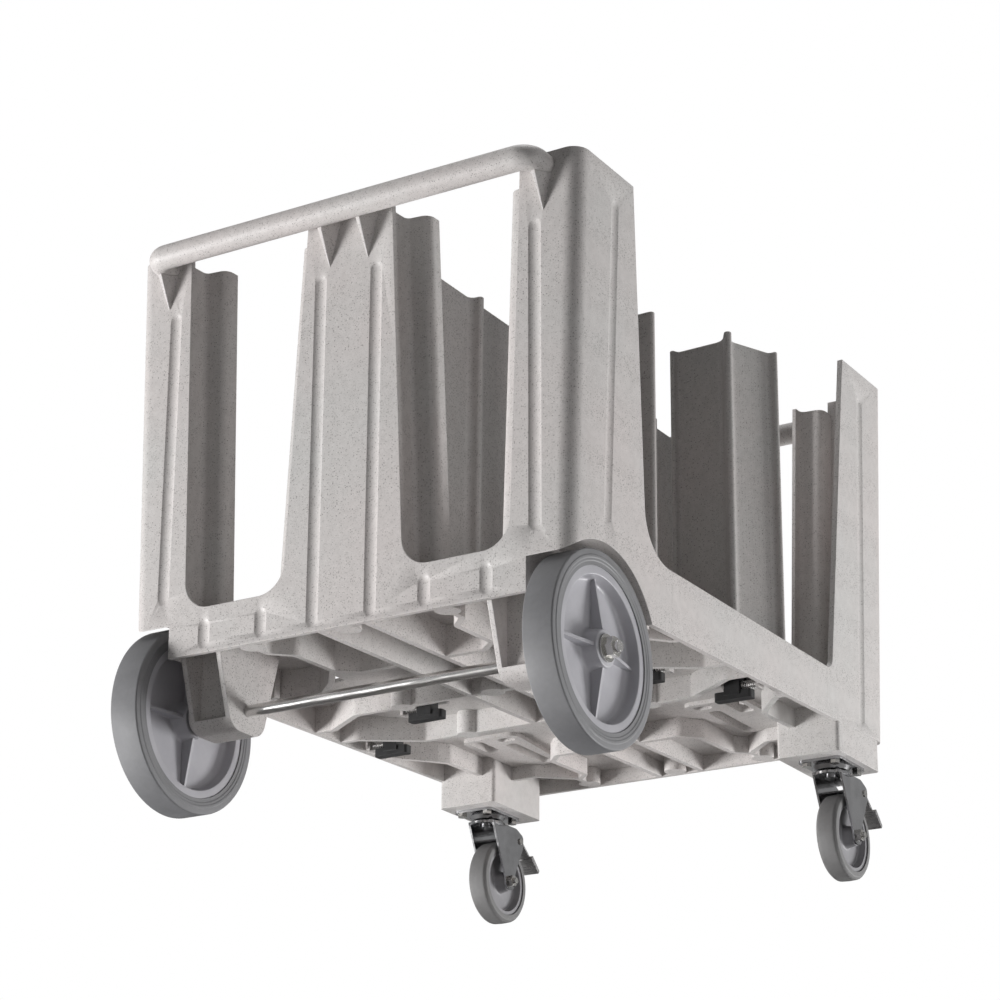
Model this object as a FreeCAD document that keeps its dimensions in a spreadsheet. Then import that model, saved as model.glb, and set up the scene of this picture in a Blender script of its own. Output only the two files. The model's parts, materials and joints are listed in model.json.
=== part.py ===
"""Dish dispenser cart: a moulded tub on two fixed wheels and two braked casters.

The tub is 717 mm wide over its end-wall corners and the cart 1050 mm long over its handles.
Millimetres.  X is the width, Y the length, Z up.  The origin lies on the floor under the
middle of the cart.  The end with the two large wheels faces -Y.
"""
import FreeCAD
import Part
import Sketcher
import math
import os

from FreeCAD import Placement, Rotation, Vector

os.makedirs("parts", exist_ok=True)
doc = FreeCAD.newDocument("dish_cart")

# ----------------------------------------------------------------- driving sizes

SIZES = [
    # moulded tub: a tapered rectangular shell, wider at the top
    ("tub_low", 187.0, "lowest edge of the end skirt above the floor"),
    ("tub_top", 781.0, "top edge of the end columns"),
    ("tub_width_low", 680.0, "width at the lowest edge"),
    ("tub_width_top", 717.0, "width at the column tops"),
    ("tub_length_low", 931.0, "length at the lowest edge"),
    ("tub_length_top", 945.0, "length at the column tops"),
    ("tub_corner", 23.0, "outer radius of the vertical corners"),
    ("tub_wall", 8.0, "wall of the moulding"),
    ("tub_rise", 0.028, "rise of the tub's lower edge towards the caster end, per mm"),
    ("side_rim", 280.0, "top of the low side walls"),
    # openings of the tub
    ("gap_rear_round", 70.0, "radius where the rear column meets the rim"),
    ("gap_front_round", 18.0, "radius where the front column meets the rim"),
    ("window_sill", 250.0, "bottom of the end windows"),
    ("window_round", 40.0, "radius of the window's lower corners"),
    ("window_in_low", 94.0, "window edge next to the middle column, low"),
    ("window_in_top", 68.0, "window edge next to the middle column, top"),
    # curled edges of the columns
    ("cove_wall", 6.0, "wall of the curled column edges"),
    ("cove_start", 3.0, "start of the curl behind the face"),
    ("cove_reach", 34.0, "reach of the curl behind the face"),
    ("cove_flange", 33.0, "reach of the curl towards the window"),
    ("cove_lip", 20.0, "length of the lip at the curl's end"),
    ("cove_bend", 11.0, "bend radius of the curl"),
    # push handle at each end
    ("handle_bar", 34.0, "diameter of the handle bar"),
    ("handle_bend", 20.0, "bend radius at each end of the bar"),
    ("handle_root", 5.0, "depth of the bar's ends in the wall"),
    ("gusset_root", 16.0, "half width of a gusset at the wall"),
    ("gusset_ridge", 3.5, "half width of a gusset at the bar"),
    ("gusset_inner", 31.0, "inner gussets from mid width"),
    # grooves that stiffen the columns
    ("groove_half", 9.5, "half width of a groove"),
    ("groove_deep", 3.0, "depth of a groove"),
    ("groove_margin", 14.0, "least distance of a groove's end from the lower edge"),
    ("groove_middle", 45.0, "groove of the middle column, from mid width"),
    ("groove_sill_in", 127.0, "inner short groove under a window"),
    ("groove_sill_out", 219.0, "outer short groove under a window"),
    ("groove_sill_top", 234.0, "top of the short grooves"),
    ("groove_arch", 272.0, "lower end of the grooves above the large wheels"),
    ("groove_side_low_rear", 300.0, "lower end of the rear groove on a long side"),
    ("groove_side_low_front", 230.0, "lower end of the front groove on a long side"),
    # deck
    ("deck_under", 236.0, "underside of the deck"),
    ("deck_thick", 6.0, "thickness of the deck"),
    ("rib_wall", 9.0, "wall of a rib"),
    ("rib_spine", 36.0, "distance of the two long middle ribs from mid width"),
    ("pad_round", 17.0, "radius of a round boss at a rib crossing"),
    # shallow round seats for the stacks of dishes
    ("seat_deep", 1.0, "depth of a dish seat in the deck"),
    ("seat_rear_x", 140.0, "rear seats from mid width"),
    ("seat_rear_y", -292.0, "rear seats from mid length"),
    ("seat_rear_round", 88.0, "radius of a rear seat"),
    ("seat_front_x", 88.0, "front seats from mid width"),
    ("seat_front_y", 302.0, "front seats from mid length"),
    ("seat_front_round", 52.0, "radius of a front seat"),
    # slots in which the towers slide
    ("slot_width", 20.0, "width of a deck slot"),
    ("slot_end_gap", 1.0, "spare length at each end of a slot"),
    # sliding towers
    ("tower_wall", 8.0, "wall of a tower's wings"),
    ("tower_fin", 36.0, "reach of the tower's fin"),
    ("tower_fin_wall", 11.0, "thickness of the fin"),
    ("tower_wing", 81.0, "reach of a wing up to its lip"),
    ("tower_angle", 124.0, "angle between fin and wing"),
    ("tower_lip", 14.0, "length of the lip at a wing's end"),
    ("tower_neck", 15.0, "distance from the root to the middle of the neck"),
    ("tower_foot_back", 62.0, "reach of the foot under the wings"),
    ("tower_foot_tip", 30.0, "reach of the foot under the fin"),
    ("tower_foot_half", 30.0, "half width of the foot"),
    ("tower_foot_thick", 8.0, "thickness of the foot"),
    ("running_gap", 0.4, "clearance over and under the deck"),
    ("slot_gap", 1.0, "clearance of the neck in its slot"),
    ("neck_length", 34.0, "length of the neck in the slot"),
    ("keeper_back", 31.0, "reach of the keeper away from the spring"),
    ("keeper_lug", 41.0, "reach of the keeper up to its spring lug"),
    ("keeper_half", 18.0, "half width of the keeper"),
    ("keeper_thick", 5.0, "thickness of the keeper plate"),
    ("keeper_rail", 8.0, "depth of the keeper's rails"),
    ("keeper_lip", 3.4, "thickness of the rails' inner lips"),
    # latch under each tower
    ("latch_body", 24.0, "length of the latch block"),
    ("latch_half", 10.0, "half width of the latch block"),
    ("latch_flange", 15.0, "half width of the latch's guided flange"),
    ("latch_flange_thick", 4.0, "thickness of that flange"),
    ("latch_drop", 28.0, "height of the latch block"),
    ("latch_bar", 57.0, "length of the latch's finger bar"),
    ("latch_bar_thick", 12.0, "height of the finger bar"),
    ("latch_travel", 7.0, "travel of the latch against its spring"),
    ("latch_gap", 0.4, "clearance between latch and keeper"),
    ("spring_wire", 1.6, "wire of the latch spring"),
    ("spring_mean", 11.0, "mean diameter of the latch spring"),
    ("spring_length", 24.0, "length of the latch spring at rest"),
    ("spring_drop", 15.0, "axis of the spring below the keeper plate"),
    # middle posts
    ("post_arm", 118.0, "reach of a post's long arms"),
    ("post_arm_front", 96.0, "reach of the front post's arm towards the end wall"),
    ("post_fin", 24.0, "reach of a post's short fins"),
    ("post_wall", 11.0, "wall of a post"),
    # fixed wheels and their axle
    ("wheel_across", 254.0, "diameter of a large wheel"),
    ("wheel_wide", 45.0, "width of its tyre"),
    ("wheel_tread", 22.0, "depth of the tyre"),
    ("axle_across", 16.0, "diameter of the axle"),
    ("axle_gap", 0.05, "radial running clearance on the axle"),
    ("wheel_hub", 52.0, "diameter of the hub"),
    ("arch_round", 137.0, "radius of the wheel arch"),
    ("arch_wall", 5.0, "wall of the wheel housing"),
    ("leg_foot", 31.0, "radius of the leg's rounded foot"),
    ("leg_wall", 7.0, "wall of the hollow leg"),
    ("leg_boss", 17.0, "length of the boss beside the wheel"),
    ("nut_flats", 24.0, "across the flats of the axle nut"),
    ("nut_thick", 12.0, "thickness of the axle nut"),
    ("washer_across", 36.0, "diameter of the axle washer"),
    ("washer_thick", 2.5, "thickness of the axle washer"),
    # braked casters
    ("caster_height", 165.0, "mounting face above the floor"),
    ("caster_across", 127.0, "diameter of a caster wheel"),
    ("caster_wide", 32.0, "width of a caster wheel"),
    ("caster_tread", 12.0, "depth of its tyre"),
    ("caster_trail", 32.0, "wheel axle behind the swivel axis"),
    ("plate_x", 67.0, "caster plate across the cart"),
    ("plate_y", 92.0, "caster plate along the cart"),
    ("plate_thick", 4.0, "thickness of the caster plate"),
    ("bolt_pitch_x", 45.0, "plate bolts, across"),
    ("bolt_pitch_y", 75.0, "plate bolts, along"),
    ("race_across", 56.0, "diameter of the ball race"),
    ("fork_gap", 40.0, "clear width of the fork"),
    ("fork_metal", 3.0, "sheet thickness of the fork"),
    ("caster_axle", 9.5, "diameter of the caster axle"),
    ("bolt_across", 8.0, "diameter of the plate bolts"),
    ("bolt_depth", 26.0, "depth of the plate bolts in the block"),
    ("bolt_head", 13.0, "across the flats of a plate bolt"),
    ("bolt_head_thick", 5.3, "height of a plate bolt's head"),
]

# sizes that follow from the ones above, so that the pieces stay together
DERIVED = [
    ("gap_rear_low", "=tub_length_low / 2 - 189.5", "side gap, rear edge at the rim, from mid length"),
    ("gap_rear_top", "=tub_length_top / 2 - 139.5", "side gap, rear edge at the top"),
    ("gap_front_low", "=tub_length_low / 2 - 183.5", "side gap, front edge at the rim"),
    ("gap_front_top", "=tub_length_top / 2 - 147.5", "side gap, front edge at the top"),
    ("window_out_low", "=tub_width_low / 2 - 88", "window edge next to the corner column, low"),
    ("window_out_top", "=tub_width_top / 2 - 90.5", "window edge next to the corner column, top"),
    ("cove_top", "=tub_top - 22", "height of the curled edges"),
    ("handle_height", "=tub_top - 19", "axis of the handle bar"),
    ("handle_reach", "=tub_length_top / 2 + 35.5", "axis of the handle bar from mid length"),
    ("handle_half", "=tub_width_top / 2 - 55.5", "axis of the bar's return ends from mid width"),
    ("gusset_tip", "=tub_top - 81", "lower tip of a gusset"),
    ("groove_top", "=tub_top - 91", "top of the grooves on the end faces"),
    ("groove_side_top", "=tub_top - 41", "top of the grooves on the long faces"),
    ("groove_corner", "=tub_width_top / 2 - 68.5", "groove of a corner column, from mid width"),
    ("groove_side_rear", "=tub_length_low / 2 - 87.5", "rear groove of a long face, from mid length"),
    ("groove_side_front", "=tub_length_low / 2 - 81.5", "front groove of a long face, from mid length"),
    ("tower_top", "=tub_top - 39", "top of a tower"),
    ("post_top", "=tub_top - 16", "top of a middle post"),
    ("post_rear_y", "=295.5 - tub_length_low / 2", "rear middle post, from mid length"),
    ("post_front_y", "=tub_length_low / 2 - 115.5", "front middle post, from mid length"),
    ("wheel_track", "=tub_width_low - 48", "distance between the large wheels' middle planes"),
    ("axle_y", "=87.5 - tub_length_low / 2", "axle from mid length"),
    ("arch_inner", "=tub_width_low / 2 - 63", "inner face of the wheel arch, from mid width"),
    ("leg_inner", "=tub_width_low / 2 - 133", "inner face of an axle leg"),
    ("caster_x", "=tub_width_low / 2 - 44", "swivel axis from mid width"),
    ("caster_y", "=tub_length_low / 2 - 94.5", "swivel axis from mid length"),
    ("block_in", "=tub_width_low / 2 - 99", "inner face of a caster block"),
    ("block_out", "=tub_width_low / 2", "outer face of a caster block"),
    ("block_back", "=tub_length_low / 2 - 164.5", "rear face of a caster block"),
    ("block_front", "=tub_length_low / 2 - 23.5", "front face of a caster block"),
    ("tower_corner_x", "=tub_width_low / 2 - 56", "neck of a corner tower from mid width"),
]

sheet = doc.addObject("Spreadsheet::Sheet", "Sizes")
for row, (alias, value, meaning) in enumerate(SIZES + DERIVED, start=1):
    sheet.set("A%d" % row, meaning)
    sheet.set("B%d" % row, str(value))
    sheet.setAlias("B%d" % row, alias)
doc.recompute()


def size(alias):
    """Value of one driving size in millimetres."""
    return float(sheet.get(alias))


NODES = []
SIDES = (("left", -1.0), ("right", 1.0))
ENDS = (("rear", -1.0), ("front", 1.0))
BIG = 1200.0


# ----------------------------------------------------------------- shared tools

def keep(node):
    """Marks a finished sub-part as one of the exported pieces."""
    node.Label = node.Name
    NODES.append(node)
    return node


def plain_feature(name, shape):
    """A sub-part whose form is set directly from the sheet's sizes."""
    feature = doc.addObject("Part::Feature", name)
    feature.Shape = shape
    return keep(feature)


def new_body(name):
    """A sub-part made of sketches and features."""
    return doc.addObject("PartDesign::Body", name)


def origin_plane(body, role):
    """One of the three base planes of a body."""
    for feature in body.Origin.OriginFeatures:
        if feature.Role == role:
            return feature
    raise ValueError(role)


def new_sketch(body, name, role, offset=None):
    """A sketch on a base plane, optionally lifted along the plane's normal."""
    sketch = body.newObject("Sketcher::SketchObject", name)
    sketch.AttachmentSupport = [(origin_plane(body, role), "")]
    sketch.MapMode = "FlatFace"
    if offset is not None:
        sketch.setExpression("AttachmentOffset.Base.z", offset)
    return sketch


def rounded_outline(points, radii):
    """Lines and arcs around a closed polygon whose corners are rounded."""
    count = len(points)
    entries = []
    for index in range(count):
        before = Vector(*points[index - 1], 0)
        here = Vector(*points[index], 0)
        after = Vector(*points[(index + 1) % count], 0)
        arrive = (here - before).normalize()
        leave = (after - here).normalize()
        turn = arrive.getAngle(leave)
        radius = radii[index]
        if radius <= 0.0 or turn < 0.01:
            entries.append((here, None, here))
            continue
        setback = radius * math.tan(turn / 2.0)
        start = here - arrive * setback
        end = here + leave * setback
        bisector = (leave - arrive).normalize()
        centre = here + bisector * (radius / math.cos(turn / 2.0))
        entries.append((start, centre - bisector * radius, end))
    geometry = []
    for index in range(count):
        start, middle, end = entries[index]
        if middle is not None:
            geometry.append(Part.Arc(start, middle, end))
        target = entries[(index + 1) % count][0]
        if (target - end).Length > 1e-4:
            geometry.append(Part.LineSegment(end, target))
    return geometry


def outline_wire(points, radii, height=0.0):
    """Closed wire of a rounded outline in a level plane."""
    edges = [item.toShape() for item in rounded_outline(points, radii)]
    wire = Part.Wire(Part.__sortEdges__(edges))
    wire.translate(Vector(0, 0, height))
    return wire


def prism(points, radii, low, high):
    """Upright prism of a rounded outline between two heights."""
    face = Part.Face(outline_wire(points, radii, low))
    return face.extrude(Vector(0, 0, high - low))


def side_prism(points, radii, start, end):
    """Prism of an outline in the Y-Z plane, extruded across the cart."""
    face = Part.Face(outline_wire(points, radii))
    solid = face.extrude(Vector(0, 0, end - start))
    solid.Placement = Placement(
        Vector(start, 0, 0), Rotation(Vector(0, 1, 0), Vector(0, 0, 1), Vector(1, 0, 0), "ZXY")
    )
    return solid


def box(x0, x1, y0, y1, z0, z1):
    """Block between two corners."""
    return Part.makeBox(x1 - x0, y1 - y0, z1 - z0, Vector(x0, y0, z0))


def rod(start, end, radius):
    """Round bar between two points."""
    line = Vector(*end) - Vector(*start)
    return Part.makeCylinder(radius, line.Length, Vector(*start), line)


def offset_path(points, distance):
    """Open polyline moved sideways, to its left for a positive distance."""
    moved = []
    last = len(points) - 1
    for index, (px, py) in enumerate(points):
        normals = []
        for first in (index - 1, index):
            if 0 <= first < last:
                dx = points[first + 1][0] - points[first][0]
                dy = points[first + 1][1] - points[first][1]
                length = math.hypot(dx, dy)
                normals.append((-dy / length, dx / length))
        nx = sum(item[0] for item in normals)
        ny = sum(item[1] for item in normals)
        scale = distance * len(normals) / (nx * nx + ny * ny)
        moved.append((px + nx * scale, py + ny * scale))
    return moved


def turn_signs(points):
    """+1 for a left turn, -1 for a right turn at each inner point, 0 at the ends."""
    signs = [0.0]
    for index in range(1, len(points) - 1):
        ax = points[index][0] - points[index - 1][0]
        ay = points[index][1] - points[index - 1][1]
        bx = points[index + 1][0] - points[index][0]
        by = points[index + 1][1] - points[index][1]
        signs.append(math.copysign(1.0, ax * by - ay * bx))
    signs.append(0.0)
    return signs


def ribbon(path, bend, wall):
    """Outline points and radii of a wall that follows an open path."""
    half = wall / 2.0
    signs = turn_signs(path)
    left = offset_path(path, half)
    right = offset_path(path, -half)
    left_radii = [max(bend - sign * half, 0.0) if sign else 0.0 for sign in signs]
    right_radii = [max(bend + sign * half, 0.0) if sign else 0.0 for sign in signs]
    points = right + left[::-1]
    radii = right_radii + left_radii[::-1]
    return points, radii


def mirrored(shape, side):
    """The shape itself on the right side, its mirror image on the left."""
    if side > 0:
        return shape
    return shape.mirror(Vector(0, 0, 0), Vector(1, 0, 0))


# ----------------------------------------------------------------- tub shell

def tub_half_width(height, inset=0.0):
    """Half width of the tub's outer face at a height."""
    share = (height - size("tub_low")) / (size("tub_top") - size("tub_low"))
    width = size("tub_width_low") + share * (size("tub_width_top") - size("tub_width_low"))
    return width / 2.0 - inset


def tub_half_length(height, inset=0.0):
    """Half length of the tub's outer face at a height."""
    share = (height - size("tub_low")) / (size("tub_top") - size("tub_low"))
    length = size("tub_length_low") + share * (size("tub_length_top") - size("tub_length_low"))
    return length / 2.0 - inset


def rounded_rectangle(sketch, width, length, radius):
    """Centred rounded rectangle whose three sizes are expressions of the sheet."""
    wide = 600.0
    long = 900.0
    corner = 20.0
    x = wide / 2.0 - corner
    y = long / 2.0 - corner
    turn = math.pi / 2.0
    centres = [(x, -y, -turn), (x, y, 0.0), (-x, y, turn), (-x, -y, 2.0 * turn)]
    lines = [
        (Vector(-x, -y - corner, 0), Vector(x, -y - corner, 0)),
        (Vector(x + corner, -y, 0), Vector(x + corner, y, 0)),
        (Vector(x, y + corner, 0), Vector(-x, y + corner, 0)),
        (Vector(-x - corner, y, 0), Vector(-x - corner, -y, 0)),
    ]
    for (start, end), (cx, cy, angle) in zip(lines, centres):
        sketch.addGeometry(Part.LineSegment(start, end), False)
        circle = Part.Circle(Vector(cx, cy, 0), Vector(0, 0, 1), corner)
        sketch.addGeometry(Part.ArcOfCircle(circle, angle, angle + turn), False)
    for index in range(8):
        following = (index + 1) % 8
        sketch.addConstraint(Sketcher.Constraint("Tangent", index, 2, following, 1))
    for index, kind in ((0, "Horizontal"), (2, "Vertical"), (4, "Horizontal"), (6, "Vertical")):
        sketch.addConstraint(Sketcher.Constraint(kind, index))
    for index in (3, 5, 7):
        sketch.addConstraint(Sketcher.Constraint("Equal", 1, index))
    sketch.addConstraint(Sketcher.Constraint("Symmetric", 1, 3, 5, 3, -1, 1))
    corner_index = sketch.addConstraint(Sketcher.Constraint("Radius", 1, corner))
    wide_index = sketch.addConstraint(Sketcher.Constraint("DistanceX", 7, 3, 1, 3, wide - 2 * corner))
    long_index = sketch.addConstraint(Sketcher.Constraint("DistanceY", 1, 3, 3, 3, long - 2 * corner))
    sketch.setExpression("Constraints[%d]" % corner_index, radius)
    sketch.setExpression("Constraints[%d]" % wide_index, "%s - 2 * (%s)" % (width, radius))
    sketch.setExpression("Constraints[%d]" % long_index, "%s - 2 * (%s)" % (length, radius))


def tapered_block(name, inset):
    """Solid of the tub's outline, drawn in by a wall, from its low edge to its top."""
    body = new_body(name)
    sections = []
    for level in ("low", "top"):
        sketch = new_sketch(body, name + "_" + level, "XY_Plane", "Sizes.tub_" + level)
        rounded_rectangle(
            sketch,
            "Sizes.tub_width_%s - 2 * (%s)" % (level, inset),
            "Sizes.tub_length_%s - 2 * (%s)" % (level, inset),
            "Sizes.tub_corner - (%s)" % inset,
        )
        sections.append(sketch)
    loft = body.newObject("PartDesign::AdditiveLoft", name + "_loft")
    loft.Profile = sections[0]
    loft.Sections = [sections[1]]
    loft.Ruled = True
    return body


outer_form = tapered_block("tub_outer", "0")
inner_form = tapered_block("tub_inner", "Sizes.tub_wall")

window_sketch = new_sketch(outer_form, "window_outline", "XZ_Plane")
gap_sketch = new_sketch(outer_form, "side_gap_outline", "YZ_Plane")
skirt_sketch = new_sketch(outer_form, "skirt_outline", "YZ_Plane")
over = size("tub_top") + 20.0

for name, side in SIDES:
    window_slope = (size("window_in_low") - size("window_in_top")) / (size("tub_top") - size("window_sill"))
    outer_slope = (size("window_out_top") - size("window_out_low")) / (size("tub_top") - size("window_sill"))
    inner_over = size("window_in_top") - window_slope * (over - size("tub_top"))
    outer_over = size("window_out_top") + outer_slope * (over - size("tub_top"))
    corners = [
        (side * inner_over, over),
        (side * size("window_in_low"), size("window_sill")),
        (side * size("window_out_low"), size("window_sill")),
        (side * outer_over, over),
    ]
    bend = size("window_round")
    for item in rounded_outline(corners, [0.0, bend, bend, 0.0]):
        window_sketch.addGeometry(item, False)

gap_corners = [
    (-size("gap_rear_top"), over),
    (-size("gap_rear_low"), size("side_rim")),
    (size("gap_front_low"), size("side_rim")),
    (size("gap_front_top"), over),
]
for item in rounded_outline(gap_corners, [0.0, size("gap_rear_round"), size("gap_front_round"), 0.0]):
    gap_sketch.addGeometry(item, False)



def parting(y):
    """Height of the tub's lower edge, which rises towards the caster end."""
    return size("tub_low") + size("tub_rise") * (y + size("tub_length_low") / 2.0)


skirt_reach = size("tub_length_top")
skirt_corners = [
    (-skirt_reach, 0.0),
    (skirt_reach, 0.0),
    (skirt_reach, parting(skirt_reach)),
    (-skirt_reach, parting(-skirt_reach)),
]
for item in rounded_outline(skirt_corners, [0.0] * len(skirt_corners)):
    skirt_sketch.addGeometry(item, False)

doc.recompute()
for sketch in (window_sketch, gap_sketch, skirt_sketch):
    before = outer_form.Shape.Volume
    pocket = outer_form.newObject("PartDesign::Pocket", sketch.Name + "_cut")
    pocket.Profile = sketch
    pocket.Type = 1
    pocket.Midplane = True
    doc.recompute()
    if not outer_form.Shape.Volume < before:
        raise RuntimeError(sketch.Name + " cut nothing")

outer_solid = outer_form.Shape
inner_solid = inner_form.Shape
shell_solid = outer_solid.cut(inner_solid)


def arch_cylinder(side, radius, start, end):
    """Cylinder about the rear axle, outwards from a plane on one side of the cart."""
    height = size("wheel_across") / 2.0
    low = start if side > 0 else -end
    return Part.makeCylinder(radius, end - start, Vector(low, size("axle_y"), height), Vector(1, 0, 0))


for name, side in SIDES:
    shell_solid = shell_solid.cut(arch_cylinder(side, size("arch_round"), size("arch_inner"), BIG / 2.0))


# ----------------------------------------------------------------- handles

def handle_solid(end):
    """Push handle: a round bar whose ends bend back into the wall."""
    half = size("handle_half")
    reach = size("handle_reach")
    bend = size("handle_bend")
    height = size("handle_height")
    root = tub_half_length(height, size("handle_root"))
    slant = bend * (1.0 - math.sqrt(0.5))
    points = [
        Vector(-half, end * root, height),
        Vector(-half, end * (reach - bend), height),
        Vector(-half + bend, end * reach, height),
        Vector(half - bend, end * reach, height),
        Vector(half, end * (reach - bend), height),
        Vector(half, end * root, height),
    ]
    left_mid = Vector(-half + slant, end * (reach - slant), height)
    right_mid = Vector(half - slant, end * (reach - slant), height)
    edges = [
        Part.LineSegment(points[0], points[1]).toShape(),
        Part.Arc(points[1], left_mid, points[2]).toShape(),
        Part.LineSegment(points[2], points[3]).toShape(),
        Part.Arc(points[3], right_mid, points[4]).toShape(),
        Part.LineSegment(points[4], points[5]).toShape(),
    ]
    circle = Part.Circle(points[0], Vector(0, end, 0), size("handle_bar") / 2.0)
    profile = Part.Wire(circle.toShape())
    return Part.Wire(edges).makePipeShell([profile], True, True)


# ----------------------------------------------------------------- end walls

def cove_wire(edge, towards, face, height, end):
    """Outline of a curled column edge: in from the face, out to the window, and a lip."""
    reach = face - size("cove_reach")
    flange = edge + towards * size("cove_flange")
    path = [
        (edge - towards * size("cove_wall") / 2.0, face - size("cove_start")),
        (edge - towards * 1.0, reach),
        (flange, reach - 4.0),
        (flange + towards * 1.0, reach - 4.0 - size("cove_lip")),
    ]
    points, radii = ribbon(path, size("cove_bend"), size("cove_wall"))
    radii[0] = 0.0
    placed = [(px, end * py) for px, py in points]
    return outline_wire(placed, radii, height)


def cove_solid(low_edge, top_edge, towards, end):
    """Curled edge that follows the slanting side of a window."""
    low = size("deck_under") + size("deck_thick")
    top = size("cove_top")
    sill = size("window_sill")
    slope = (top_edge - low_edge) / (size("tub_top") - sill)
    wires = []
    for height in (low, top):
        edge = low_edge + slope * (height - sill)
        wires.append(cove_wire(edge, towards, tub_half_length(height), height, end))
    return Part.makeLoft(wires, True, True)


def groove_cutter(start, stop, outward):
    """Round bar with round ends that cuts a shallow groove into a face."""
    half = size("groove_half")
    deep = size("groove_deep")
    radius = (half * half + deep * deep) / (2.0 * deep)
    first = start + outward * (radius - deep)
    last = stop + outward * (radius - deep)
    line = last - first
    bar = Part.makeCylinder(radius, line.Length, first, line)
    return bar.fuse([Part.makeSphere(radius, first), Part.makeSphere(radius, last)])


def end_groove(x, low, top, end):
    """Cutter for a groove in an end face."""
    last = top - size("groove_half")
    start = Vector(x, end * tub_half_length(low), low)
    stop = Vector(x, end * tub_half_length(last), last)
    return groove_cutter(start, stop, Vector(0, end, 0))


def side_groove(y, low, top, side):
    """Cutter for a groove in the long face of a corner column."""
    last = top - size("groove_half")
    start = Vector(side * tub_half_width(low), y, low)
    stop = Vector(side * tub_half_width(last), y, last)
    return groove_cutter(start, stop, Vector(side, 0, 0))


def gusset(x, end):
    """Web under the bar: wide at the wall, narrow at the bar, pointed at its lower tip."""
    tip = size("gusset_tip")
    top = size("handle_height")
    inset = 1.0
    wires = []
    for height, root, ridge, reach in (
        (tip, 1.0, 0.6, tub_half_length(tip) + 0.5),
        (top, size("gusset_root"), size("gusset_ridge"), size("handle_reach")),
    ):
        face = tub_half_length(height) - inset
        corners = [(x - root, face), (x + root, face), (x + ridge, reach), (x - ridge, reach)]
        placed = [(px, end * py) for px, py in corners]
        wires.append(outline_wire(placed, [0.0] * len(placed), height))
    return Part.makeLoft(wires, True, True)


def wall_grooves(end):
    """Cutters for every groove of one end wall."""
    lowest = parting(end * tub_half_length(size("tub_low"))) + size("groove_margin")
    if end < 0:
        corner_low = size("groove_arch")
        side_y = -size("groove_side_rear")
        side_low = size("groove_side_low_rear")
    else:
        corner_low = lowest
        side_y = size("groove_side_front")
        side_low = size("groove_side_low_front")
    spots = (
        (size("groove_corner"), corner_low, size("groove_top")),
        (size("groove_middle"), lowest, size("groove_top")),
        (size("groove_sill_in"), lowest, size("groove_sill_top")),
        (size("groove_sill_out"), lowest, size("groove_sill_top")),
    )
    cutters = []
    for name, side in SIDES:
        for x, low, top in spots:
            cutters.append(end_groove(side * x, low, top, end))
        cutters.append(side_groove(side_y, side_low, size("groove_side_top"), side))
    return cutters


def end_wall(end_name, end):
    """End wall: two corner columns and a middle column above a sill."""
    if end < 0:
        region = box(-BIG, BIG, -BIG, -size("gap_rear_low") + size("gap_rear_round"), 0.0, BIG)
    else:
        region = box(-BIG, BIG, size("gap_front_low") - size("gap_front_round"), BIG, 0.0, BIG)
    wall = shell_solid.common(region).cut(wall_grooves(end))
    window = (
        (size("window_in_low"), size("window_in_top"), 1.0),
        (size("window_out_low"), size("window_out_top"), -1.0),
    )
    additions = []
    for name, side in SIDES:
        for low_edge, top_edge, towards in window:
            additions.append(cove_solid(side * low_edge, side * top_edge, side * towards, end))
        for x in (size("gusset_inner"), size("handle_half")):
            additions.append(gusset(side * x, end))
    handle = handle_solid(end)
    wall = wall.fuse(additions).cut(handle).removeSplitter()
    plain_feature(end_name + "_wall", wall)
    plain_feature(end_name + "_handle", handle)


for end_name, end in ENDS:
    end_wall(end_name, end)


# ----------------------------------------------------------------- tower stations

class Tower:
    """One sliding tower: where its neck stands, where its fin points and how far it slides."""

    def __init__(self, letter, side, x, y, heading, outward, inward):
        self.letter = letter
        self.side = side
        self.x = x
        self.y = y
        self.heading = heading
        self.outward = outward
        self.inward = inward


# heading: direction of the fin and of the outward slide, degrees from +X
TOWERS = (
    Tower("a", 1.0, size("tower_corner_x"), 84.0, -58.0, 2.0, 80.0),
    Tower("b", -1.0, -140.0, -45.0, 180.0, 76.0, 66.0),
    Tower("c", -1.0, -size("tower_corner_x"), 84.0, 238.0, 2.0, 80.0),
    Tower("d", 1.0, 213.0, -45.0, 0.0, 3.0, 138.0),
)


# ----------------------------------------------------------------- base

def side_wall(side_name, side):
    """Low wall of one long side between the two end walls."""
    low = -size("gap_rear_low") + size("gap_rear_round")
    high = size("gap_front_low") - size("gap_front_round")
    half = box(0.0, BIG, low, high, 0.0, BIG)
    plain_feature("side_wall_" + side_name, shell_solid.common(mirrored(half, side)))


def wheel_housing(side):
    """Half tube over a large wheel, closed towards the middle by a cheek."""
    wall = size("arch_wall")
    start = size("arch_inner")
    outer = arch_cylinder(side, size("arch_round") + wall, start - wall, BIG / 2.0)
    inner = arch_cylinder(side, size("arch_round"), start, BIG / 2.0)
    tube = outer.cut(inner)
    above = box(-BIG, BIG, -BIG, 0.0, parting(size("axle_y")), BIG)
    return tube.common(above).common(inner_solid)


def slot_outline(tower, spare):
    """Corners and radii of the slot in which a tower's neck slides."""
    angle = math.radians(tower.heading)
    along = (math.cos(angle), math.sin(angle))
    across = (-along[1], along[0])
    half = size("slot_width") / 2.0 - spare
    end = size("neck_length") / 2.0 + size("slot_end_gap") - spare
    corners = []
    for reach, width in (
        (-tower.inward - end, -half),
        (tower.outward + end, -half),
        (tower.outward + end, half),
        (-tower.inward - end, half),
    ):
        x = tower.x + along[0] * reach + across[0] * width
        y = tower.y + along[1] * reach + across[1] * width
        corners.append((x, y))
    return corners, [half - 1.0] * 4


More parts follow.
